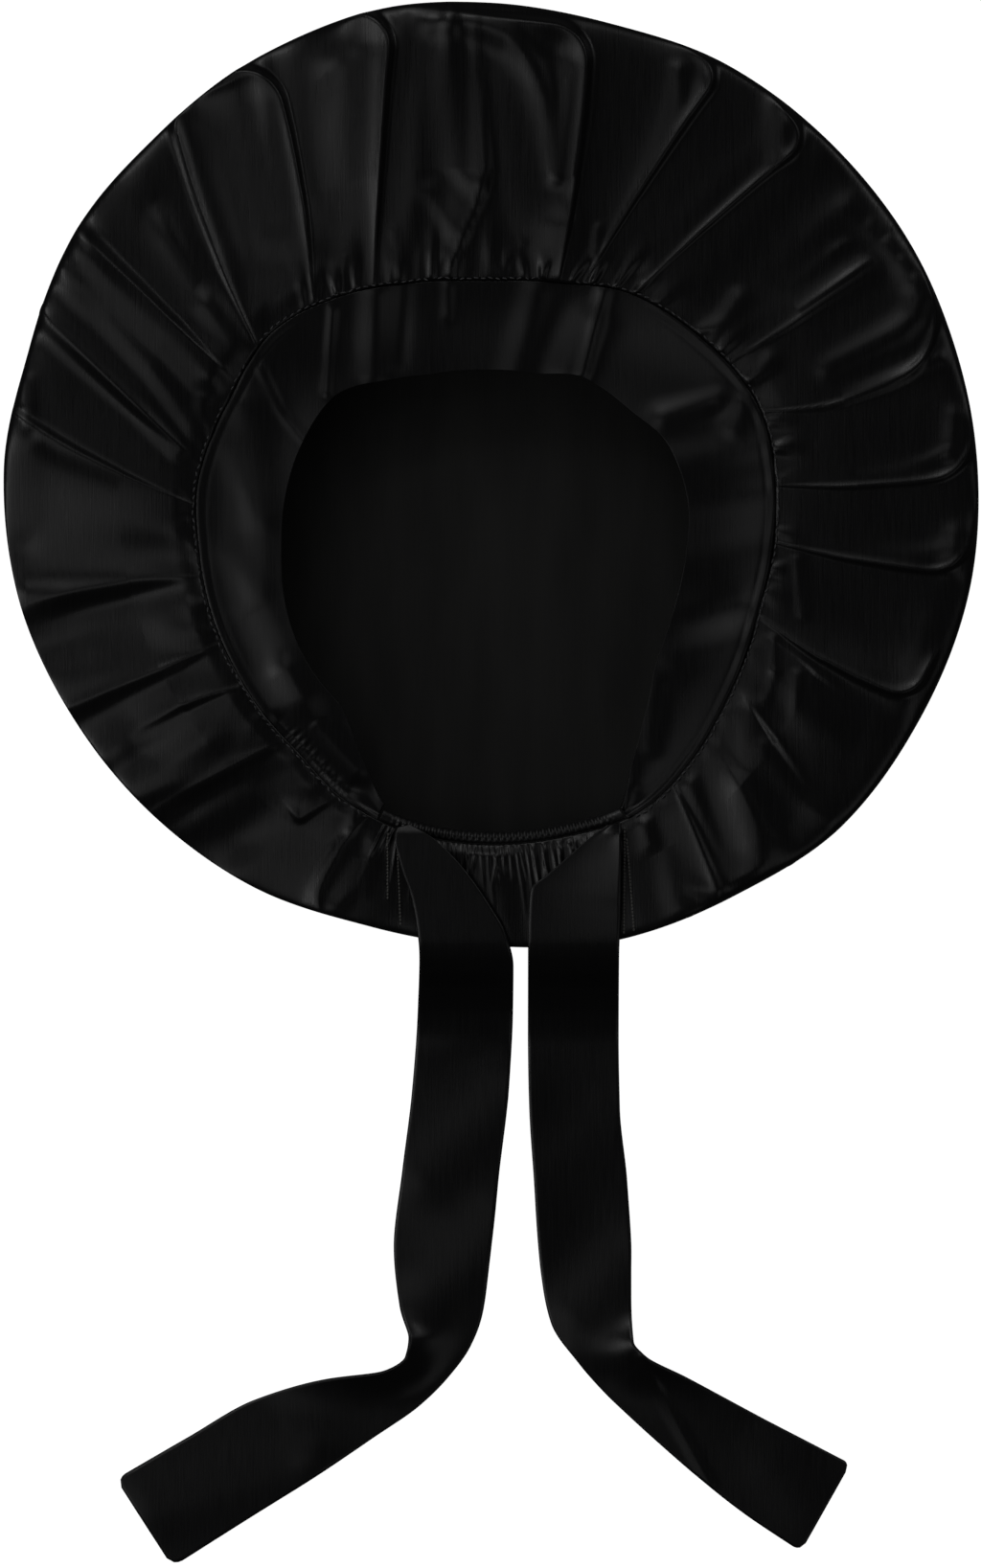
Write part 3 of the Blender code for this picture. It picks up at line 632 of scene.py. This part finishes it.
def crown_columns():
    """Rim angles of the crown's columns, closer together at the nape's fine gathers and at each crest.

    They stand at equal steps of the running sum of their density round the rim.
    """
    angle = np.linspace(0, 360, 3601)
    density = 1 + NAPE_EXTRA_COLUMNS * stretch(angle, *NAPE_GATHERED)
    for _, rim_at, *_ in CROWN_FOLDS:
        density += CREST_EXTRA_COLUMNS * bell(angle_between(angle, rim_at), 0, CREST_EXTRA_WIDTH)
    total = np.concatenate([[0], np.cumsum((density[1:] + density[:-1]) / 2)])
    return np.interp(np.arange(CROWN_COLUMNS) / CROWN_COLUMNS * total[-1], total, angle)


def crown_ring(rim_angle, turn, shape):
    """Upper side of the crown and its plain form without folds. Turn goes from 0 at the rim to 1 at the seam.

    In the outer stretch, up to the crest, reach and rise are the cosine and the sine of a quarter turn,
    each to the power of two parts in fullness. The inner one is a parabola down to the seam. Folds,
    gathers and swells stand straight up on it.
    """
    seam_angle = seam_angle_at(rim_angle)
    seam_x, seam_y = polar(seam_angle, smooth_round(SEAM, seam_angle), OPENING)
    rim_x, rim_y = polar(rim_angle, RIM_SCALE * smooth_round(RIM, rim_angle))
    width = np.hypot(rim_x - seam_x, rim_y - seam_y)
    seam_z = seam_height(seam_angle, shape)
    ring_fall = smooth_round(RING_FALL, rim_angle)
    crest_z = seam_z + (shape.crest_rise - CREST_LOSS * ring_fall) * width
    crest_z = crest_z + CREST_CHANGE * unevenness(rim_angle, *CREST_WAVES)
    fullness = 2 / (RIM_FULLNESS + FULLNESS_CHANGE * unevenness(rim_angle, *FULLNESS_WAVES))
    outer = turn < CREST_TURN
    lean = np.clip(turn / CREST_TURN, 0, 1) * math.pi / 2
    inwards = np.clip((turn - CREST_TURN) / (1 - CREST_TURN), 0, 1)
    reach = np.cos(lean) ** fullness
    rise = np.sin(lean) ** fullness
    share = np.where(outer, CREST_PLACE + (1 - CREST_PLACE) * reach, CREST_PLACE * (1 - inwards))
    fallen = ring_fall * width * share
    height = np.where(
        outer,
        shape.rim_height + (crest_z - shape.rim_height - fallen) * rise,
        crest_z - (crest_z - seam_z) * inwards**2 - fallen,
    )
    plain_x = seam_x + (rim_x - seam_x) * share
    plain_y = seam_y + (rim_y - seam_y) * share
    fold = crown_folds(plain_x, plain_y) * shape.fold_depth
    fold += soft_folds(plain_x, plain_y, SOFT_FOLDS) * shape.fold_depth
    fold += swells(rim_angle, share)
    for row in LONG_FOLDS:
        fold += long_folds(seam_angle, share, width, *row)
    for *row, tall in GATHERS:
        fold += gathers(seam_angle, share * width, *row, tall * shape.gather_depth)
    plain = np.stack([plain_x, plain_y, height], axis=-1)
    return np.stack([plain_x, plain_y, height + fold], axis=-1), plain


def crown_under(rim_angle, turn, rim_rise, shape):
    """Quarter of an ellipse under the rim, from the flat bottom (0) out and up to the rim (1).

    Soft dents run up and down it, deepest half way. The folds lift its upper end by rim_rise, and less
    and less of that is left towards the floor.
    """
    rim_x, rim_y = polar(rim_angle, RIM_SCALE * smooth_round(RIM, rim_angle))
    bend = turn * math.pi / 2
    dent = SIDE_DENT * (0.5 + 0.5 * unevenness(rim_angle, *DENT_WAVES)) * np.sin(np.pi * turn)
    share = 1 - (shape.rim_undercut * (1 - np.sin(bend)) + dent) / np.hypot(rim_x, rim_y)
    height = (shape.rim_height + rim_rise) * (1 - np.cos(bend))
    return np.stack([rim_x * share, rim_y * share, height], axis=-1)


def unit(vector):
    """Vectors made 1 long."""
    return vector / np.maximum(np.linalg.norm(vector, axis=-1, keepdims=True), 1e-12)


def grid_normals(points, wrap):
    """Unit normals of a grid of points: the cross product of its steps along rows and along columns."""
    down = np.gradient(points, axis=0)
    if wrap:
        across = (np.roll(points, -1, axis=1) - np.roll(points, 1, axis=1)) / 2
    else:
        across = np.gradient(points, axis=1)
    return unit(np.cross(down, across))


def quads(rows, columns, wrap, first=0):
    """Quads of a grid counted row by row from the point number first."""
    last = columns if wrap else columns - 1
    row, column = np.meshgrid(np.arange(rows - 1), np.arange(last), indexing="ij")
    following = (column + 1) % columns
    corners = (row, column), (row + 1, column), (row + 1, following), (row, following)
    return first + np.stack([r * columns + c for r, c in corners], axis=-1).reshape(-1, 4)


def add_mesh(name, points, faces, materials, slots=None, uv=None):
    """Object from arrays of points and of faces, four corners each, where a triangle repeats its last."""
    mesh = bpy.data.meshes.new(name)
    lists = [face[:3] if face[2] == face[3] else face for face in faces.tolist()]
    mesh.from_pydata(points.tolist(), [], lists)
    for material in materials:
        mesh.materials.append(material)
    if slots is not None:
        mesh.polygons.foreach_set("material_index", slots)
    if uv is not None:
        layer = mesh.uv_layers.new(name="cloth")
        corner = np.empty(len(mesh.loops), np.int32)
        mesh.loops.foreach_get("vertex_index", corner)
        layer.data.foreach_set("uv", uv[corner].astype(np.float32).ravel())
    mesh.shade_smooth()
    piece = bpy.data.objects.new(name, mesh)
    bpy.context.scene.collection.objects.link(piece)
    return piece


def capped(start, grid, end):
    """Points and faces of a closed skin: a grid that goes round, with a fan of triangles at each pole."""
    rows, columns, _ = grid.shape
    points = np.concatenate([[start], grid.reshape(-1, 3), [end]])
    column = np.arange(columns)
    following = (column + 1) % columns
    first = np.stack([0 * column, 1 + following, 1 + column, 1 + column], axis=-1)
    side = quads(rows, columns, True, 1)[:, ::-1]
    last_row = 1 + (rows - 1) * columns
    tip = np.full(columns, len(points) - 1)
    last = np.stack([tip, last_row + column, last_row + following, last_row + following], axis=-1)
    return points, np.concatenate([first, side, last])


def strip(name, top, wall, materials):
    """Closed strip of cloth: the grid top, the same grid a wall behind it, and a narrow side all round."""
    rows, columns, _ = top.shape
    normal = grid_normals(top, False)
    bottom = top - wall * normal
    count = rows * columns
    points = np.concatenate([top.reshape(-1, 3), bottom.reshape(-1, 3)])
    upper = quads(rows, columns, False)
    lower = quads(rows, columns, False, count)[:, ::-1]
    number = np.arange(count).reshape(rows, columns)
    edge = np.concatenate([number[0, :-1], number[:-1, -1], number[-1, :0:-1], number[:0:-1, 0]])
    following = np.roll(edge, -1)
    side = np.stack([edge, following, following + count, edge + count], axis=-1)
    row, column = np.meshgrid(np.linspace(0, 1, rows), np.linspace(0, 1, columns), indexing="ij")
    uv = np.tile(np.stack([column, row], axis=-1).reshape(-1, 2), (2, 1))
    return add_mesh(name, points, np.concatenate([upper, lower, side]), materials, None, uv)


def linear(hex_colour):
    """sRGB hex to linear red, green, blue."""
    value = np.array([int(hex_colour[i : i + 2], 16) for i in (1, 3, 5)]) / 255
    return tuple(np.where(value <= 0.04045, value / 12.92, ((value + 0.055) / 1.055) ** 2.4))


def add_node(tree, kind, settings=None, **inputs):
    """Adds a node, sets its properties, and sets or links its inputs by name with _ for a blank."""
    node = tree.nodes.new(kind)
    for name, value in (settings or {}).items():
        setattr(node, name, value)
    for name, value in inputs.items():
        socket = node.inputs[name.replace("_", " ")]
        if isinstance(value, bpy.types.NodeSocket):
            tree.links.new(value, socket)
        else:
            socket.default_value = value
    return node


def noise(tree, place, scale, detail=2.0, roughness=0.6):
    """Smooth grey noise at a place."""
    node = add_node(
        tree, "ShaderNodeTexNoise", Vector=place, Scale=scale, Detail=detail, Roughness=roughness
    )
    return node.outputs["Fac"]


def spread(tree, value, middle, half):
    """Stretches noise over the range from middle - half to middle + half."""
    low, high = NOISE_RANGE
    ends = {"From_Min": low, "From_Max": high, "To_Min": middle - half, "To_Max": middle + half}
    return add_node(tree, "ShaderNodeMapRange", Value=value, **ends).outputs["Result"]


def satin(name, colour, roughness, streak_mm, streak_length_mm, relief, sheen, gloss=0.5, cloud=0.0):
    """Woven satin: long floats of smooth thread side by side, so it shines in streaks across the thread.

    The streaks are noise drawn out along the thread in the piece's own metres. Real threads lie about
    0.1 mm apart, which no render of the whole bonnet shows, so they are drawn streak_mm apart. Cloud is
    how much the colour changes between broad soft patches.
    """
    material = bpy.data.materials.new(name)
    material.use_nodes = True
    tree = material.node_tree
    tree.nodes.clear()
    place = add_node(tree, "ShaderNodeTexCoord").outputs["Object"]
    lengthways = 1 / (streak_length_mm * MM)
    scale = (1 / (streak_mm * MM), lengthways, lengthways)
    drawn = add_node(tree, "ShaderNodeMapping", Vector=place, Scale=scale)
    thread = noise(tree, drawn.outputs["Vector"], 1.0)
    grain = noise(tree, place, GRAIN_SCALE)
    both = add_node(tree, "ShaderNodeMix", {"data_type": "FLOAT"}, Factor=GRAIN_SHARE, A=thread, B=grain)
    bump = add_node(
        tree, "ShaderNodeBump", Strength=relief, Distance=RELIEF_DEPTH, Height=both.outputs["Result"]
    )
    shader = add_node(
        tree,
        "ShaderNodeBsdfPrincipled",
        Base_Color=(*linear(colour), 1.0),
        Roughness=spread(tree, thread, roughness, ROUGHNESS_CHANGE),
        Normal=bump.outputs["Normal"],
        IOR=1.5,
        Specular_IOR_Level=gloss,
        Sheen_Weight=sheen,
        Sheen_Roughness=0.4,
    )
    if cloud > 0:
        scale = (1 / (CLOUD_WIDTH_MM * MM), 1 / (CLOUD_LENGTH_MM * MM), 0.0)
        wide = add_node(tree, "ShaderNodeMapping", Vector=place, Scale=scale)
        patch = noise(tree, wide.outputs["Vector"], 1.0, 1.0, 0.5)
        shade = spread(tree, patch, 1, cloud)
        tint = add_node(
            tree, "ShaderNodeVectorMath", {"operation": "SCALE"}, Vector=linear(colour), Scale=shade
        )
        tree.links.new(tint.outputs["Vector"], shader.inputs["Base Color"])
    add_node(tree, "ShaderNodeOutputMaterial", Surface=shader.outputs["BSDF"])
    return material


def face_satin(name, context):
    """The satin's glossy side, with the look of this name."""
    colours = context.scene.bonnet_satin
    rougher, *weave = FACE_LOOKS[name]
    return satin(name, colours.face, colours.roughness + rougher, *weave)


def number(name, description, default, **limits):
    """Property that holds a number."""
    return bpy.props.FloatProperty(name=name, description=description, default=default, **limits)


def metres(name, description, default):
    """Property that holds a length."""
    return number(name, description, default, subtype="DISTANCE")


def hue(name, description, default):
    """Property that holds a colour as hex."""
    return bpy.props.StringProperty(name=name, description=description, default=default)


class BonnetShape(bpy.types.PropertyGroup):
    """Sizes of the bonnet that its pieces are worked out from."""

    seam_height: metres("Seam height", "Height of the seam at the front", 0.031)
    nape_drop: metres("Nape drop", "How much lower the seam is at the nape", 0.007)
    rim_height: metres("Rim height", "Height of the rolled rim's widest line", 0.017)
    rim_undercut: metres("Rim undercut", "How far the rim overhangs the flat bottom", 0.016)
    crest_rise: number("Crest rise", "Rise over the seam for each metre of ring width", 0.02)
    fold_depth: number("Fold depth", "Scale of the heights in the table of folds", 1.0)
    gather_depth: metres("Gather depth", "Height that the short gathers are shares of", 0.0014)
    crown_wall: metres("Crown wall", "Thickness of the single satin", 0.0007)
    ring_depth: metres("Ring depth", "Thickness of the folded cloth's two faces together", 0.003)
    band_wall: metres("Band wall", "Thickness of the doubled satin", 0.0012)
    band_fall: number("Band fall", "Height lost by the band for each metre of its seen width", 0.20)


class BonnetSatin(bpy.types.PropertyGroup):
    """Colours and gloss of the satin."""

    face: hue("Face", "Colour of the satin's glossy side", "#121213")
    reverse: hue("Reverse", "Colour of the satin's dull side", "#1d1d1c")
    thread: hue("Thread", "Colour of the sewing thread", "#4a4a4c")
    # The side seams' thread is paler than the satin: partly its own colour, partly a painted glint of the
    # light its beads catch.
    overlock: hue("Overlock", "Colour of the side seams' thread", "#5c5b58")
    roughness: number("Roughness", "Roughness of the glossy side", 0.31, min=0.0, max=1.0)


class BONNET_OT_crown(bpy.types.Operator):
    """Gathered crown: flat bottom, rolled rim and folded upper side in one closed shell"""

    bl_idname = "bonnet.crown"
    bl_label = "Crown"

    def execute(self, context):
        shape = context.scene.bonnet_shape
        colours = context.scene.bonnet_satin
        angle = crown_columns()[None, :]
        seamwards = np.linspace(0, 1, RING_ROWS + 1)[1:, None]
        under = np.linspace(0, 1, UNDER_ROWS + 1)[:, None]
        ring, plain = crown_ring(angle, seamwards, shape)
        rim, plain_rim = crown_ring(angle, np.zeros((1, 1)), shape)
        below = crown_under(angle, under, (rim - plain_rim)[..., 2], shape)
        flat = below[:1] * np.array(FLAT_ROWS)[:, None, None]
        outer = np.concatenate([flat, below, ring])
        plain = np.concatenate([flat, below, plain])
        plain[..., 2] = np.minimum(plain[..., 2], outer[..., 2])
        depth = np.full((len(outer), 1, 1), shape.crown_wall)
        depth[len(flat) + len(below) : -THIN_ROWS] = shape.ring_depth
        inner = plain + depth * grid_normals(plain, True)
        kept = np.append(np.arange(0, len(outer), INNER_STEP), len(outer) - 1)
        kept = np.union1d(kept, np.arange(len(flat) + UNDER_ROWS))
        wall = np.concatenate([outer, inner[kept][::-1]])
        points, faces = capped((0.0, 0.0, 0.0), wall, (0.0, 0.0, shape.crown_wall))
        inside = (np.arange(len(faces)) // wall.shape[1] > len(outer)).astype(np.int32)
        face = face_satin("silk_satin_face", context)
        reverse = satin("silk_satin_reverse", colours.reverse, *REVERSE_LOOK)
        piece = add_mesh("crown_satin", points, faces, [face, reverse], inside)
        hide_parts("crown")
        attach(piece, "root")
        return {"FINISHED"}


class BONNET_OT_headband(bpy.types.Operator):
    """Flat doubled band from one nape corner round the front to the other"""

    bl_idname = "bonnet.headband"
    bl_label = "Headband"

    def execute(self, context):
        shape = context.scene.bonnet_shape
        angle = np.linspace(BAND_RIGHT_END, BAND_LEFT_END, BAND_COLUMNS)[None, :]
        across = np.linspace(0, 1, BAND_ROWS)
        across = np.concatenate([[0, EDGE_SHARE], across[1:-1], [1 - EDGE_SHARE, 1]])[:, None]
        seam = smooth_round(SEAM, angle) - SEAM_GAP
        edge = smooth([row[0] for row in BAND_EDGE], [row[1] for row in BAND_EDGE], angle)
        radius = seam + (edge - seam) * across
        x, y = polar(angle, radius, OPENING)
        inwards = seam - radius
        fall = shape.band_fall * smooth_round(BAND_FALL, angle)
        z = seam_height(angle, shape) - fall * inwards - BAND_SAG * np.sin(np.pi * across)
        z = z + soft_folds(x, y, BAND_SOFT_FOLDS)
        loss, loss_from, loss_over = WELT_LOSS
        kept = 1 - stretch(angle, *NO_WELT)
        kept = kept * (1 - loss * ease((angle - loss_from) / loss_over))
        pucker = stretch(angle, *PUCKERED) * bell(inwards, *PUCKER_LINE)
        z = z + PUCKER_HEIGHT * pucker * unevenness(angle, *PUCKER_WAVES)
        z = z + WELT_HEIGHT * kept * bell(inwards, *WELT_LINE)
        z = z - DIMPLE_SHARE * WELT_HEIGHT * kept * bell(inwards, *DIMPLE_LINE)
        top = np.stack([x, y, z], axis=-1)
        face = face_satin("doubled_satin_band", context)
        piece = strip("headband_satin", top, -shape.band_wall, [face])
        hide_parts("headband")
        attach(piece, "root")
        return {"FINISHED"}


class BONNET_OT_nape_casing(bpy.types.Operator):
    """Narrow gathered casing with its elastic inside, along the nape"""

    bl_idname = "bonnet.nape_casing"
    bl_label = "Nape casing"

    def execute(self, context):
        shape = context.scene.bonnet_shape
        angle = np.linspace(NAPE_LEFT_END, NAPE_RIGHT_END, CASING_COLUMNS)[None, :]
        across = np.linspace(0, 1, CASING_ROWS)[:, None]
        ribs = 0.5 + 0.5 * np.cos(2 * np.pi * (angle - NAPE_LEFT_END) / RIB_PITCH)
        ribs = RIB_HEIGHT * ribs * stretch(angle, *RIBBED)
        radius = smooth_round(SEAM, angle) - SEAM_GAP - CASING_WIDTH * across
        x, y = polar(angle, radius, OPENING)
        rise = (CASING_RISE + ribs) * np.sin(np.pi * across) ** CASING_ROUNDNESS
        z = seam_height(angle, shape) + rise - shape.band_fall * CASING_WIDTH * across
        top = np.stack([x, y, z], axis=-1)
        face = face_satin("gathered_satin_casing", context)
        piece = strip("nape_casing", top, -shape.band_wall, [face])
        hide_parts("nape_elastic")
        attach(piece, "root")
        return {"FINISHED"}


def tie_surface(sections):
    """Strap through its sections, with soft folds. Rows go along it, columns across."""
    rows = np.array(sections) * MM
    at = np.arange(len(rows))
    where = np.linspace(0, len(rows) - 1, TIE_STEPS)
    left_x, left_y, right_x, right_y, left_lift, right_lift = (
        smooth(at, rows[:, column], where)[:, None] for column in range(rows.shape[1])
    )
    to_end = (len(rows) - 1 - where[:, None]) / CORNER_SECTIONS
    corner = CORNER_SHARE * (1 - np.sqrt(1 - (1 - np.clip(to_end, 0, 1)) ** 2))
    across = np.linspace(0, 1, TIE_ROWS)[None, :]
    across = corner + (1 - 2 * corner) * across
    x = left_x + (right_x - left_x) * across
    y = left_y + (right_y - left_y) * across
    fall = smooth([-row[0] for row in TIE_FALL], [row[1] for row in TIE_FALL], -y)
    lift = left_lift * (1 - across) ** 2 + right_lift * across**2
    wave = soft_folds(x, y, TIE_SOFT_FOLDS)
    return np.stack([x, y, fall + lift + wave + TIE_WALL], axis=-1)


class BONNET_OT_ties(bpy.types.Operator):
    """Two flat doubled ties, laid over the nape and out on the floor"""

    bl_idname = "bonnet.ties"
    bl_label = "Ties"

    def execute(self, context):
        face = face_satin("doubled_satin_tie", context)
        for name, sections, length in (("tie_left", TIE_LEFT, 0.309), ("tie_right", TIE_RIGHT, 0.283)):
            piece = strip(name + "_satin", tie_surface(sections), TIE_WALL, [face])
            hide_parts(name)
            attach(piece, "root")
        return {"FINISHED"}


def bead(sides=6, rings=4, roundness=0.6):
    """Round-ended bead 1 long along X, whose thickness falls off as a full ellipse towards both ends."""
    bend = np.linspace(0, np.pi, rings + 2)[1:-1, None]
    turn = np.arange(sides) * 2 * np.pi / sides
    thick = np.sin(bend) ** roundness
    body = [-np.cos(bend) / 2 + 0 * turn, thick * np.cos(turn) / 2, thick * np.sin(turn) / 2]
    return capped((-0.5, 0.0, 0.0), np.stack(body, axis=-1), (0.5, 0.0, 0.0))


def stitches(name, centre, along, up, length, thickness, material):
    """One mesh of beads: each is turned so that its length lies along and its top looks up."""
    points, faces = bead()
    along = unit(along)
    across = unit(np.cross(up, along))
    up = np.cross(along, across)
    placed = centre[:, None, :] + points[None, :, :1] * length * along[:, None, :]
    placed = placed + points[None, :, 1:2] * thickness * across[:, None, :]
    placed = placed + points[None, :, 2:] * thickness * up[:, None, :]
    shifts = np.arange(len(centre))[:, None, None] * len(points)
    piece = add_mesh(name, placed.reshape(-1, 3), (faces[None] + shifts).reshape(-1, 4), [material])
    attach(piece, "root")


def crown_at(x, y, shape):
    """Points of the crown's upper side straight above the plan points x, y, and its normals there."""
    angle = np.linspace(*LOOKUP_ANGLES)[None, :]
    turn = np.linspace(0, 1, LOOKUP_ROWS + 1)[1:, None]
    ring, _ = crown_ring(angle, turn, shape)
    normal = grid_normals(ring, False)
    normal = normal * np.sign(normal[..., 2:])
    flat = ring.reshape(-1, 3)
    nearest = [np.argmin((flat[:, 0] - px) ** 2 + (flat[:, 1] - py) ** 2) for px, py in zip(x, y)]
    return flat[nearest], normal.reshape(-1, 3)[nearest]


class BONNET_OT_stitching(bpy.types.Operator):
    """Rows of stitches round the seam and down the two side seams"""

    bl_idname = "bonnet.stitching"
    bl_label = "Stitching"

    def execute(self, context):
        shape = context.scene.bonnet_shape
        colours = context.scene.bonnet_satin
        thread = satin("polyester_thread", colours.thread, *THREAD_LOOK)
        # The side seams' beads get the pale colour, partly the thread's own and partly a painted glint of the
        # light they catch.
        pale = satin("overlock_thread_with_painted_glint", colours.overlock, *THREAD_LOOK)
        random = np.random.default_rng(STITCH_SEED)

        pitch = math.degrees(STITCH_PITCH / SEAM_RADIUS)
        angle = np.arange(BAND_RIGHT_END + STITCH_MARGIN, BAND_LEFT_END - STITCH_MARGIN, pitch)
        out = STITCH_OUT * (1 + STITCH_OUT_CHANGE * random.uniform(-1, 1, len(angle)))
        z = seam_height(angle, shape) + STITCH_RISE
        centre, ahead = (
            np.stack([*polar(at, smooth_round(SEAM, at) + out, OPENING), z], axis=-1)
            for at in (angle, angle + STITCH_AHEAD)
        )
        lean = STITCH_LEAN * random.uniform(-1, 1, (len(angle), 3))
        up = np.tile([0.0, 0.0, 1.0], (len(angle), 1))
        stitches("seam_thread", centre, ahead - centre + lean, up, STITCH_LENGTH, THREAD_THICK, thread)

        for name, lines in SIDE_SEAMS.items():
            x, y, steps = [], [], []
            for ax, ay, bx, by in lines:
                count = int(math.hypot(bx - ax, by - ay) / OVERLOCK_PITCH)
                share = np.linspace(0, 1, count)
                x.append((ax + (bx - ax) * share) * MM)
                y.append((ay + (by - ay) * share) * MM)
                steps.append(np.tile([bx - ax, by - ay, 0.0], (count, 1)))
            x, y, steps = np.concatenate(x), np.concatenate(y), np.concatenate(steps)
            surface, up = crown_at(x, y, shape)
            centre = np.stack([x, y, surface[:, 2]], axis=-1) + OVERLOCK_RISE * up
            steps = steps - up * np.sum(steps * up, axis=-1, keepdims=True)
            stitches(name, centre, steps, up, OVERLOCK_LENGTH, OVERLOCK_THICK, pale)
        return {"FINISHED"}


def add_light(name, place, aim, size, strength):
    """Soft rectangular lamp that faces the point aim."""
    data = bpy.data.lights.new(name, "AREA")
    data.shape = "RECTANGLE"
    data.size, data.size_y = size
    data.energy = strength
    lamp = bpy.data.objects.new(name, data)
    bpy.context.scene.collection.objects.link(lamp)
    towards = np.array(aim, float) - np.array(place, float)
    lamp.rotation_euler = Vector(towards).to_track_quat("-Z", "Y").to_euler()
    lamp.location = place


class BONNET_OT_stage(bpy.types.Operator):
    """Pale floor, soft lamps and the camera that looks straight down"""

    bl_idname = "bonnet.stage"
    bl_label = "Stage"

    def execute(self, context):
        scene = context.scene
        corners = FLOOR_HALF * np.array([[-1, -1, 0], [1, -1, 0], [1, 1, 0], [-1, 1, 0]])
        material = bpy.data.materials.new("pale_paper_floor")
        material.use_nodes = True
        paper = {
            "Base Color": (0.55, 0.55, 0.55, 1),
            "Roughness": 0.9,
            "Specular IOR Level": 0.1,
            "Emission Color": (1, 1, 1, 1),
            "Emission Strength": 1.0,
        }
        for name, value in paper.items():
            material.node_tree.nodes["Principled BSDF"].inputs[name].default_value = value
        floor = add_mesh("floor", corners - (0, 0, FLOOR_DROP), np.array([[0, 1, 2, 3]]), [material])
        floor.visible_glossy = False
        floor.visible_diffuse = False
        for name, turn, zenith, size, strength in SOFTBOXES:
            low = math.radians(zenith)
            x, y = polar(turn, LAMP_DISTANCE * math.sin(low))
            add_light(name, (x, y, LAMP_DISTANCE * math.cos(low)), LAMP_AIM, size, strength)
        world = bpy.data.worlds.new("studio")
        world.use_nodes = True
        world.node_tree.nodes["Background"].inputs["Color"].default_value = (0.016, 0.016, 0.016, 1)
        scene.world = world
        camera = bpy.data.cameras.new("camera")
        camera.lens = CAMERA_LENS
        camera.sensor_fit = "VERTICAL"
        camera.sensor_height = CAMERA_SENSOR
        camera.clip_end = 50
        eye = bpy.data.objects.new("camera", camera)
        eye.location = (*FRAME_MIDDLE, FRAME_LENGTH * CAMERA_LENS / CAMERA_SENSOR)
        scene.collection.objects.link(eye)
        scene.camera = eye
        scene.view_settings.view_transform = "Standard"
        scene.view_settings.look = "None"
        return {"FINISHED"}


class BONNET_PT_panel(bpy.types.Panel):
    """Lists the bonnet's pieces, sizes and colours."""

    bl_label = "Bonnet"
    bl_idname = "BONNET_PT_panel"
    bl_space_type = "VIEW_3D"
    bl_region_type = "UI"
    bl_category = "Bonnet"

    def draw(self, context):
        for group in (context.scene.bonnet_shape, context.scene.bonnet_satin):
            for name in group.__annotations__:
                self.layout.prop(group, name)
        for operator in OPERATORS:
            self.layout.operator(operator.bl_idname)


OPERATORS = (
    BONNET_OT_crown,
    BONNET_OT_headband,
    BONNET_OT_nape_casing,
    BONNET_OT_ties,
    BONNET_OT_stitching,
    BONNET_OT_stage,
)
CLASSES = (BonnetShape, BonnetSatin, *OPERATORS, BONNET_PT_panel)


def register():
    for entry in CLASSES:
        bpy.utils.register_class(entry)
    bpy.types.Scene.bonnet_shape = bpy.props.PointerProperty(type=BonnetShape)
    bpy.types.Scene.bonnet_satin = bpy.props.PointerProperty(type=BonnetSatin)


def unregister():
    del bpy.types.Scene.bonnet_satin
    del bpy.types.Scene.bonnet_shape
    for entry in reversed(CLASSES):
        bpy.utils.unregister_class(entry)


def main():
    register()
    bpy.ops.bonnet.crown()
    bpy.ops.bonnet.nape_casing()
    bpy.ops.bonnet.headband()
    bpy.ops.bonnet.ties()
    bpy.ops.bonnet.stitching()
    bpy.ops.bonnet.stage()


if __name__ == "__main__":
    main()
